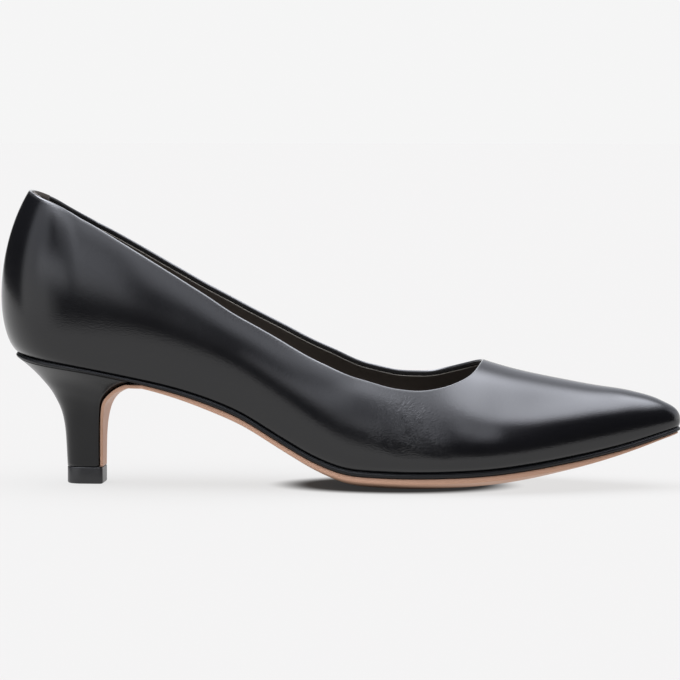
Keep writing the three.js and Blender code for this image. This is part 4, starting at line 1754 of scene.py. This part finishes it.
@dataclass
class Plate:
    """A thin layer under the foot with rounded edges."""

    form: FootForm
    shift: np.ndarray
    across: int = 24

    def rows(
        self,
        reach: float,
        top: Callable[[float, float, float], float],
        bottom: Callable[[float, float, float], float],
        bulge: float,
        power: float,
        start: float = -1.0,
    ) -> np.ndarray:
        """Closed rings of points across the foot.

        Args:
            reach: Place of the outermost edge past the feather line.
            top: Height of the top from share, x and y.
            bottom: Height of the bottom.
            bulge: How far the rounded edge stands out.
            power: Squareness of the edge.
            start: Share of the first station that is used.

        Returns:
            Rings of points, each ending where it starts.
        """
        rings = []
        stations = [one for one in self.form.stations if one.along > start]
        for station in stations:
            outer = station.edge(Side.OUTER, reach - bulge)
            inner = station.edge(Side.INNER, reach - bulge)
            spread = [0.5 - 0.5 * math.cos(math.pi * k / self.across) for k in range(self.across + 1)]
            above = []
            below = []
            for share in spread:
                x, y = outer + (inner - outer) * share
                along = self.form.share(x)
                above.append(np.array([x, y, top(along, x, y)]))
                below.append(np.array([x, y, bottom(along, x, y)]))
            inner_out = np.array([*station.outward[Side.INNER], 0.0])
            outer_out = np.array([*station.outward[Side.OUTER], 0.0])
            ring = above
            ring = ring + edge_round(above[-1], below[-1], inner_out, bulge, power)
            ring = ring + below[::-1]
            ring = ring + edge_round(below[0], above[0], outer_out, bulge, power)
            ring.append(above[0])
            rings.append(np.asarray(ring))
        return np.asarray(rings)


@dataclass
class Bottom:
    """The sock, the rand and the tan sole with its breast flap."""

    form: FootForm
    shift: np.ndarray
    sock_thickness: float = 1.85
    sock_round: float = 0.35
    rand_round: float = 0.21
    rand_inset: float = 0.35
    sole_round: float = 0.4
    sole_inset: float = 0.1
    sole_start: float = 0.197
    waist_share: float = 0.68
    waist_start: float = 0.2
    waist_run: float = 0.12
    toe_share: float = 0.35
    toe_start: float = 0.84
    toe_run: float = 0.16

    def welt_thickness(self, along: float) -> float:
        """Thickness of the rand at a share of the foot."""
        return self.form.sizes.welt_thickness * self.form.welt(along)

    def sole_top(self, along: float, x: float, y: float) -> float:
        """Height of the top of the sole."""
        return self.form.bed(x, y) - 2.0 * self.form.sizes.gap - self.welt_thickness(along)

    def sole_thickness(self, along: float) -> float:
        """Thickness of the sole, thinner at the toe and at the waist.

        Args:
            along: Share along the foot.

        Returns:
            The thickness in millimetres.
        """
        toe = lerp(1.0, self.toe_share, ease((along - self.toe_start) / self.toe_run))
        waist = lerp(self.waist_share, 1.0, ease((along - self.waist_start) / self.waist_run))
        return self.form.sizes.sole_thickness * toe * waist

    def sole_bottom(self, along: float, x: float, y: float) -> float:
        """Height of the underside of the sole, flat where it stands."""
        return max(0.0, self.sole_top(along, x, y) - self.sole_thickness(along))

    def build_sock(self) -> bpy.types.Object:
        """Makes the sock that closes the upper underneath.

        Returns:
            The closed mesh.
        """
        sizes = self.form.sizes
        plate = Plate(self.form, self.shift)
        rows = plate.rows(
            -sizes.wall - sizes.gap,
            lambda along, x, y: self.form.bed(x, y) + self.sock_thickness,
            lambda along, x, y: self.form.bed(x, y),
            self.sock_round,
            2.0,
        )
        maker = MeshMaker("sock", self.shift)
        maker.grid(rows)
        return settle(maker.build(), SOCK_LEATHER, Berth("sock_leather", ("insole",)))

    def build_rand(self) -> list[bpy.types.Object]:
        """Makes the rand between upper and sole, and the round bead along its edge.

        Returns:
            The two pieces.
        """
        sizes = self.form.sizes
        plate = Plate(self.form, self.shift)
        rows = plate.rows(
            sizes.welt_reach - self.rand_inset,
            lambda along, x, y: self.form.bed(x, y) - sizes.gap * 0.4,
            lambda along, x, y: self.form.bed(x, y) - sizes.gap * 1.4 - self.welt_thickness(along),
            self.rand_round,
            2.0,
        )
        maker = MeshMaker("rand", self.shift)
        maker.grid(rows)
        rand = settle(maker.build(), RAND_LEATHER, Berth("welt_leather", ("welt",)))
        return [rand, self._build_bead()]

    def _build_bead(self) -> bpy.types.Object:
        """Makes the round bead, which is as thick as the rand where it lies.

        Returns:
            The closed mesh.
        """
        path = []
        thick = []
        last = len(self.form.stations) - 1
        ordered = [(i, Side.OUTER) for i in range(last, -1, -1)]
        ordered += [(i, Side.INNER) for i in range(1, last)]
        for i, side in ordered:
            station = self.form.stations[i]
            half = self.welt_thickness(station.along) / 2.0
            x, y = station.edge(side, self.form.sizes.welt_reach - half)
            height = self.form.edge_height(station.along) - self.form.sizes.gap - half
            path.append((x, y, height))
            thick.append(half)
        line = np.asarray(path) + self.shift
        bead = sweep("rand_bead", line, 1.0, RAND_LEATHER, closed=True, thick=np.asarray(thick), around=16)
        return settle(bead, RAND_LEATHER, Berth("welt_leather"))

    def build_sole(self, heel: "Heel") -> bpy.types.Object:
        """Makes the sole, which runs on down the breast of the heel.

        Args:
            heel: The heel that the flap lies on.

        Returns:
            The closed mesh.
        """
        sizes = self.form.sizes
        plate = Plate(self.form, self.shift)
        rows = plate.rows(
            -self.sole_inset, self.sole_top, self.sole_bottom, self.sole_round, 3.0, self.sole_start
        )
        flap = heel.flap_rings(plate.across, self.sole_round, sizes.sole_thickness * self.waist_share)
        maker = MeshMaker("sole", self.shift)
        rings = np.concatenate([flap, rows])
        maker.grid(rings)
        count = plate.across + 1
        lowest = rings[0]
        side = (len(lowest) - 1 - 2 * count) // 2
        above = lowest[:count]
        below = lowest[count + side : 2 * count + side][::-1]
        maker.grid(np.stack([above, below]), flipped=True)
        return settle(maker.build(weld=0.004), SOLE_LEATHER, Berth("sole_leather", ("outsole",)))


@dataclass
class Heel:
    """The covered heel block, its top piece and the line of its breast."""

    form: FootForm
    bottom: Bottom
    shift: np.ndarray
    around: int = 96
    seat_inset: float = 0.3
    breast_square: float = 18.0
    back_square: float = 2.1

    def __post_init__(self) -> None:
        """Prepares the flare curves and the ends of the loft."""
        sizes = self.form.sizes
        self.back = column(FLARE_ROWS, 1, 0.03)
        self.side = column(FLARE_ROWS, 2, 0.03)
        self.breast = column(FLARE_ROWS, 3, 0.03)
        self.base = sizes.top_piece_height + sizes.gap
        self.tip_x = self.form.place(sizes.tip_centre)
        self.seat_x = self.form.place(sizes.heel_centre)
        self.seat_back = sizes.feather_back + self.seat_inset
        self.seat_front = self.form.place(sizes.seat_front)
        half = self.form.half[Side.OUTER](sizes.heel_centre)
        self.seat_half = sizes.ball_width * half - self.seat_inset

    def size(self, level: float) -> tuple[float, float, float, float]:
        """Centre, back, front and half width of the section at a level.

        Args:
            level: Share of the way from the top piece up to the seat.

        Returns:
            Centre, back, front and half width in millimetres.
        """
        sizes = self.form.sizes
        centre = lerp(self.tip_x, self.seat_x, self.side(level))
        back = lerp(self.tip_x - sizes.tip_length / 2.0, self.seat_back, self.back(level))
        front = lerp(self.tip_x + sizes.tip_length / 2.0, self.seat_front, self.breast(level))
        half = lerp(sizes.tip_width / 2.0, self.seat_half, self.side(level))
        return centre, back, front, half

    def plan(self, size: tuple[float, float, float, float], shrink: float = 1.0) -> np.ndarray:
        """Plan shape of a section: round behind, nearly straight across the breast.

        Args:
            size: Centre, back, front and half width.
            shrink: Share of the full size.

        Returns:
            Even steps round the shape as x and y, starting at the front.
        """
        centre, back, front, half = size
        fine = 400
        points = []
        for k in range(fine + 1):
            angle = math.pi * k / fine
            cosine = math.cos(angle)
            sine = math.sin(angle)
            square = self.breast_square if cosine > 0 else self.back_square
            forward = math.copysign(abs(cosine) ** (2.0 / square), cosine)
            sideways = abs(sine) ** (2.0 / square)
            length = front - centre if cosine > 0 else centre - back
            points.append((centre + shrink * length * forward, shrink * half * sideways, 0.0))
        line = np.asarray(points)
        stops = np.linspace(0.0, lengths_of(line)[-1], self.around // 2 + 1)
        half_way = along_line(line, stops)[:, :2]
        mirrored = half_way[-2::-1] * np.array([1.0, -1.0])
        return np.concatenate([half_way, mirrored])

    def seat(self, x: float, y: float) -> float:
        """Height of the heel's seat."""
        return self.bottom.sole_top(self.form.share(x), x, y)

    def ring(self, level: float) -> np.ndarray:
        """Ring of the heel's outside at a level.

        Args:
            level: Share of the way from the top piece up to the seat.

        Returns:
            The points of the ring.
        """
        plan = self.plan(self.size(level))
        seat = self.plan(self.size(1.0))
        heights = [lerp(self.base, self.seat(x, y), level) for x, y in seat]
        return np.column_stack([plan, heights])

    def breast_point(self, level: float) -> np.ndarray:
        """Middle of the breast at a level, as x and z."""
        front = self.size(level)[2]
        return np.array([front, lerp(self.base, self.seat(self.seat_front, 0.0), level)])

    def flap_rings(self, across: int, bulge: float, waist: float) -> np.ndarray:
        """Rings of the flap of the sole that lies on the breast.

        Args:
            across: Steps across the flap.
            bulge: How far its rounded edge stands out.
            waist: Thickness of the sole where the flap joins it.

        Returns:
            Rings from the top piece up to the waist.
        """
        sizes = self.form.sizes
        rings = []
        levels = np.concatenate([np.linspace(0.0, 0.7, 26)[:-1], np.linspace(0.7, 0.98, 26)])
        spread = [-math.cos(math.pi * k / across) for k in range(across + 1)]
        for level in levels:
            low = self.breast_point(max(0.0, level - 0.01))
            high = self.breast_point(min(1.0, level + 0.01))
            here = self.breast_point(level)
            way = unit(high - low)
            normal = np.array([way[1], -way[0]])
            thick = lerp(sizes.flap_thickness, waist, ease(level**3))
            half = self.size(level)[3] * lerp(0.86, 0.97, ease(level**2)) - bulge
            above = self._flap_row(here + normal * sizes.gap, half, spread, level)
            below = self._flap_row(here + normal * (sizes.gap + thick), half, spread, level)
            inner_out = np.array([0.0, 1.0, 0.0])
            ring = above + edge_round(above[-1], below[-1], inner_out, bulge, 3.0)
            ring = ring + below[::-1]
            ring = ring + edge_round(below[0], above[0], -inner_out, bulge, 3.0)
            ring.append(above[0])
            rings.append(np.asarray(ring))
        return np.asarray(rings)

    def _flap_row(
        self, middle: np.ndarray, half: float, spread: Sequence[float], level: float
    ) -> list[np.ndarray]:
        """Row of points across the flap, which follows the hollow of the seat near the top.

        Args:
            middle: Middle of the row, as x and z.
            half: Half width of the row.
            spread: Shares of the half width, from -1 to 1.
            level: Share of the way up the heel.

        Returns:
            The points of the row.
        """
        row = []
        for share in spread:
            rise = self.seat(self.seat_front, half * share) - self.seat(self.seat_front, 0.0)
            row.append(np.array([middle[0], half * share, middle[1] + rise * level]))
        return row

    def build_block(self) -> bpy.types.Object:
        """Makes the covered block.

        Returns:
            The closed mesh.
        """
        maker = MeshMaker("heel_block", self.shift)
        levels = np.concatenate([np.linspace(0.0, 0.5, 16)[:-1], np.linspace(0.5, 1.0, 44)])
        maker.grid(np.asarray([self.ring(level) for level in levels]))
        seat = []
        for shrink in (1.0, 0.85, 0.65, 0.45, 0.25, 0.0):
            plan = self.plan(self.size(1.0), shrink)
            seat.append(np.asarray([(x, y, self.seat(x, y)) for x, y in plan]))
        maker.grid(np.asarray(seat))
        base = []
        for shrink in (0.0, 1.0):
            plan = self.plan(self.size(0.0), shrink)
            base.append(np.column_stack([plan, np.full(len(plan), self.base)]))
        maker.grid(np.asarray(base))
        return settle(maker.build(), HEEL_LEATHER, Berth("heel_leather", ("heel",)))

    def build_top_piece(self) -> bpy.types.Object:
        """Makes the top piece that the heel stands on.

        Returns:
            The closed mesh.
        """
        sizes = self.form.sizes
        centre, back, front, half = self.size(0.0)
        size = (centre, back, front + sizes.gap + sizes.flap_thickness, half)
        height = sizes.top_piece_height
        # Share of the plan and height of each ring, from the middle of the underside up
        steps = (
            (0.0, 0.0),
            (0.93, 0.0),
            (0.965, 0.08),
            (0.99, 0.3),
            (1.0, 0.65),
            (1.0, height - 0.3),
            (0.99, height - 0.08),
            (0.97, height),
            (0.0, height),
        )
        rings = []
        for shrink, level in steps:
            plan = self.plan(size, shrink)
            rings.append(np.column_stack([plan, np.full(len(plan), level)]))
        maker = MeshMaker("heel_tip", self.shift)
        maker.grid(np.asarray(rings))
        return settle(maker.build(), TIP_RUBBER, Berth("tip_rubber", ("top_piece",)))


@dataclass
class HeelGrip:
    """The thin pad inside the back of the upper."""

    ribs: RibBuilder
    shift: np.ndarray
    depth: float = 1.85
    thickness: float = 0.8
    reach: float = 0.0205
    bottom: float = 0.2
    rise: float = 0.7
    steps: int = 26
    side_fade: float = 0.12
    bottom_fade: float = 0.14
    top_fade: float = 0.05
    thinnest: float = 0.04

    def build(self) -> bpy.types.Object:
        """Makes the pad.

        Returns:
            The closed mesh.
        """
        order = self.ribs.order
        chosen = [i for i in range(len(order)) if order[i][0].along <= self.reach]
        near = []
        far = []
        for i in chosen:
            line, way = self._backing(i)
            side = 1.0 - abs(i - self.ribs.back) / (len(chosen) / 2.0 + 0.5)
            near.append(line)
            far.append(self._cushion(line, way, side))
        near_rows = np.asarray(near)
        far_rows = np.asarray(far)
        maker = MeshMaker("heel_grip_pad", self.shift)
        maker.grid(near_rows)
        maker.grid(far_rows, flipped=True)
        maker.grid(np.stack([near_rows[:, 0], far_rows[:, 0]], axis=1), flipped=True)
        maker.grid(np.stack([near_rows[:, -1], far_rows[:, -1]], axis=1))
        maker.grid(np.stack([near_rows[0], far_rows[0]]))
        maker.grid(np.stack([near_rows[-1], far_rows[-1]]), flipped=True)
        pad = settle(maker.build(), LINING_LEATHER, Berth("lining_leather", ("heel_grip",)))
        return pad

    def _backing(self, i: int) -> tuple[np.ndarray, np.ndarray]:
        """Line of the pad's back along a rib, a little past the collar, and its way at the top.

        Args:
            i: Number of the rib.

        Returns:
            The points of the line, and the way.
        """
        section = self.ribs.sections(self.depth)[i]
        whole = float(lengths_of(section.upper)[-1])
        stops = np.linspace(whole * self.bottom, whole, self.steps + 1)
        line = along_line(section.upper, stops)
        way = unit(line[-1] - line[-2])
        line[-1] = line[-1] + way * self.rise
        return line, way

    def _cushion(self, line: np.ndarray, way: np.ndarray, side: float) -> np.ndarray:
        """Face of the pad over a line of its back.

        Args:
            line: The line of the back.
            way: Its way at the top.
            side: 1 in the middle of the pad and near 0 at its side edges.

        Returns:
            The points of the face, thinned towards the pad's edges.
        """
        form = self.ribs.form
        centre = np.array([form.place(form.sizes.heel_centre), 0.0, 0.0])
        inward = centre - line[-1]
        inward[2] = 0.0
        inward = unit(inward)
        square = unit(inward - way * float(np.dot(inward, way)))
        rim = min(1.0, side / self.side_fade) ** 0.5
        face = []
        for j, point in enumerate(line):
            up = j / self.steps
            edge = min(1.0, up / self.bottom_fade, (1.0 - up) / self.top_fade + self.thinnest / 2.0)
            face.append(point + square * self.thickness * rim * max(self.thinnest, edge) ** 0.5)
        return np.asarray(face)


@dataclass
class Studio:
    """The pale floor, the soft light and the camera at the photograph's angle."""

    azimuth: float = 5.0
    elevation: float = 4.0
    distance: float = 1.5
    target_along: float = 0.00025
    target_height: float = 0.0564
    focal_length: float = 204.3
    sensor_width: float = 36.0
    farthest: float = 60.0
    floor_albedo: tuple[float, float, float] = (0.0705, 0.067, 0.0618)
    floor_glow: float = 0.72
    floor_size: float = 14.0
    # Painted contact shadow: the floor's glow drops to a low value round the forefoot.
    painted_shadow_along: float = 0.022
    painted_shadow_slimness: float = 0.72
    painted_shadow_core: float = 0.024
    painted_shadow_reach: float = 0.037
    painted_shadow_glow: float = 0.03

    def build(self) -> None:
        """Sets up camera, floor and light."""
        self._camera()
        self._floor()
        self._world()

    def _camera(self) -> None:
        """Camera on the outer side of the shoe, a little towards the toe."""
        turn = math.radians(self.azimuth)
        lift = math.radians(self.elevation)
        target = Vector((self.target_along, 0.0, self.target_height))
        way = Vector((math.sin(turn) * math.cos(lift), -math.cos(turn) * math.cos(lift), math.sin(lift)))
        data = bpy.data.cameras.new("camera")
        data.lens = self.focal_length
        data.sensor_width = self.sensor_width
        data.clip_end = self.farthest
        camera = bpy.data.objects.new("camera", data)
        camera.location = target + way * self.distance
        camera.rotation_euler = (target - camera.location).to_track_quat("-Z", "Y").to_euler()
        bpy.context.scene.collection.objects.link(camera)
        bpy.context.scene.camera = camera
        bpy.context.scene.view_settings.view_transform = "Standard"
        bpy.context.scene.view_settings.look = "None"

    def _floor(self) -> None:
        """Plain pale floor that runs out to the horizon, with a painted shadow round the forefoot."""
        half = self.floor_size / 2.0
        mesh = bpy.data.meshes.new("floor")
        corners = [(-half, -half, 0.0), (half, -half, 0.0), (half, half, 0.0), (-half, half, 0.0)]
        mesh.from_pydata(corners, [], [(0, 1, 2, 3)])
        floor = bpy.data.objects.new("floor", mesh)
        bpy.context.scene.collection.objects.link(floor)
        made = bpy.data.materials.new("pale_floor")
        made.use_nodes = True
        shader = made.node_tree.nodes["Principled BSDF"]
        shader.inputs["Base Color"].default_value = (*self.floor_albedo, 1.0)
        shader.inputs["Roughness"].default_value = 0.6
        shader.inputs["Specular IOR Level"].default_value = 0.0
        shader.inputs["Emission Color"].default_value = (1.0, 1.0, 1.0, 1.0)
        graph = Graph(made.node_tree)
        place = graph.add("ShaderNodeTexCoord").outputs["Object"]
        graph.join(self._glow_with_painted_shadow(graph, place), shader.inputs["Emission Strength"])
        mesh.materials.append(made)

    def _glow_with_painted_shadow(self, graph: Graph, place: bpy.types.NodeSocket) -> bpy.types.NodeSocket:
        """Glow of the lit table, dimmed round the forefoot into a painted contact shadow.

        Args:
            graph: Nodes of the floor.
            place: Place on the floor.

        Returns:
            The strength.
        """
        away = graph.vectors("ADD", place, (-self.painted_shadow_along, 0.0, 0.0))
        size = graph.length(graph.scaled(away, (self.painted_shadow_slimness, 1.0, 1.0)))
        return graph.fit(size, self.painted_shadow_core, self.painted_shadow_reach, self.painted_shadow_glow, self.floor_glow)

    def _world(self) -> None:
        """Soft light by direction: a bright ceiling, a pale back and a dark front."""
        world = bpy.data.worlds.new("studio")
        world.use_nodes = True
        bpy.context.scene.world = world
        graph = Graph(world.node_tree)
        shader = world.node_tree.nodes["Background"]
        way = graph.add("ShaderNodeSeparateXYZ")
        graph.join(graph.add("ShaderNodeTexCoord").outputs["Generated"], way.inputs[0])
        x, y, z = way.outputs
        walls = graph.math("MAXIMUM", self._walls(graph, x, y, z), self._front_lights(graph, x, y, z))
        total = graph.math("ADD", self._ceiling(graph, x, z), walls)
        tint = graph.fit(z, 0.0, 0.45)
        colour = graph.mix(tint, (1.0, 1.0, 1.0, 1.0), (0.885, 0.91, 1.0, 1.0))
        graph.join(colour, shader.inputs["Color"])
        graph.join(total, shader.inputs["Strength"])

    @staticmethod
    def _ceiling(graph: Graph, x: bpy.types.NodeSocket, z: bpy.types.NodeSocket) -> bpy.types.NodeSocket:
        """Broad light overhead, weaker over the middle of the shoe and beyond the toe.

        Args:
            graph: Nodes of the world.
            x: Part of the direction along the shoe.
            z: Part of the direction upward.

        Returns:
            The strength.
        """
        edge = graph.math("SUBTRACT", z, graph.fit(x, 0.0, 0.35, 0.0, 0.07))
        toe = graph.fit(x, 0.12, 0.34, 2.9, 7.4)
        heel = graph.fit(x, -0.02, -0.3, 0.0, 6.5)
        power = graph.product(graph.math("ADD", toe, heel), graph.fit(x, 0.42, 0.62, 1.0, 0.3))
        return graph.product(graph.fit(edge, 0.64, 0.82), power)

    @staticmethod
    def _front_lights(
        graph: Graph, x: bpy.types.NodeSocket, y: bpy.types.NodeSocket, z: bpy.types.NodeSocket
    ) -> bpy.types.NodeSocket:
        """Low strip for the counter and two tall lights for the quarter, beside the camera.

        Args:
            graph: Nodes of the world.
            x: Part of the direction along the shoe.
            y: Part of the direction across it.
            z: Part of the direction upward.

        Returns:
            The strength.
        """
        strip = graph.product(
            graph.fit(z, 0.18, 0.28),
            graph.fit(z, 0.36, 0.46, 1.0, 0.0),
            graph.fit(x, -0.18, -0.34, 0.0, 1.8),
        )
        foot = graph.fit(x, -0.06, 0.05, 0.14, 0.37)
        gap = graph.math("MAXIMUM", graph.fit(x, 0.0, 0.06, 1.0, 0.4), graph.fit(x, 0.13, 0.19, 0.4, 1.1))
        tall = graph.product(
            graph.fit(graph.math("SUBTRACT", z, foot), 0.0, 0.2),
            graph.fit(z, 0.7, 0.8, 1.0, 0.0),
            graph.fit(x, -0.16, -0.09, 0.8, 2.0),
            graph.fit(x, -0.36, -0.24),
            graph.fit(x, 0.36, 0.29),
            gap,
        )
        return graph.product(graph.math("MAXIMUM", strip, tall), graph.fit(y, -0.35, -0.7))

    @staticmethod
    def _walls(
        graph: Graph, x: bpy.types.NodeSocket, y: bpy.types.NodeSocket, z: bpy.types.NodeSocket
    ) -> bpy.types.NodeSocket:
        """Panel behind the heel, pale back wall, light past the toe and a faint rest.

        Args:
            graph: Nodes of the world.
            x: Part of the direction along the shoe.
            y: Part of the direction across it.
            z: Part of the direction upward.

        Returns:
            The strength.
        """
        panel = graph.product(graph.fit(x, -0.35, -0.6), graph.fit(y, 0.0, -0.25), graph.fit(z, 0.75, 0.6))
        back = graph.product(graph.fit(y, 0.15, 0.5), graph.fit(x, -0.42, -0.3, 0.0, 0.915))
        right = graph.product(graph.fit(x, 0.5, 0.75), graph.fit(y, 0.05, 0.3, 0.0, 1.3))
        sides = graph.math("MAXIMUM", graph.math("MAXIMUM", panel, back), right)
        return graph.math("MAXIMUM", sides, 0.015)


def main() -> None:
    """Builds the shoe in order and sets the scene."""
    logging.basicConfig(level=logging.INFO, format="%(name)s: %(message)s")
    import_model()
    shift = np.array(ORIGIN_IN_FRAME)
    form = FootForm(ShoeSizes())
    ribs = RibBuilder(form)
    Upper(ribs, shift).build()
    Lining(ribs, shift).build()
    HeelGrip(ribs, shift).build()
    bottom = Bottom(form, shift)
    heel = Heel(form, bottom, shift)
    bottom.build_sock()
    bottom.build_rand()
    bottom.build_sole(heel)
    heel.build_block()
    heel.build_top_piece()
    Studio().build()


if __name__ == "__main__":
    main()
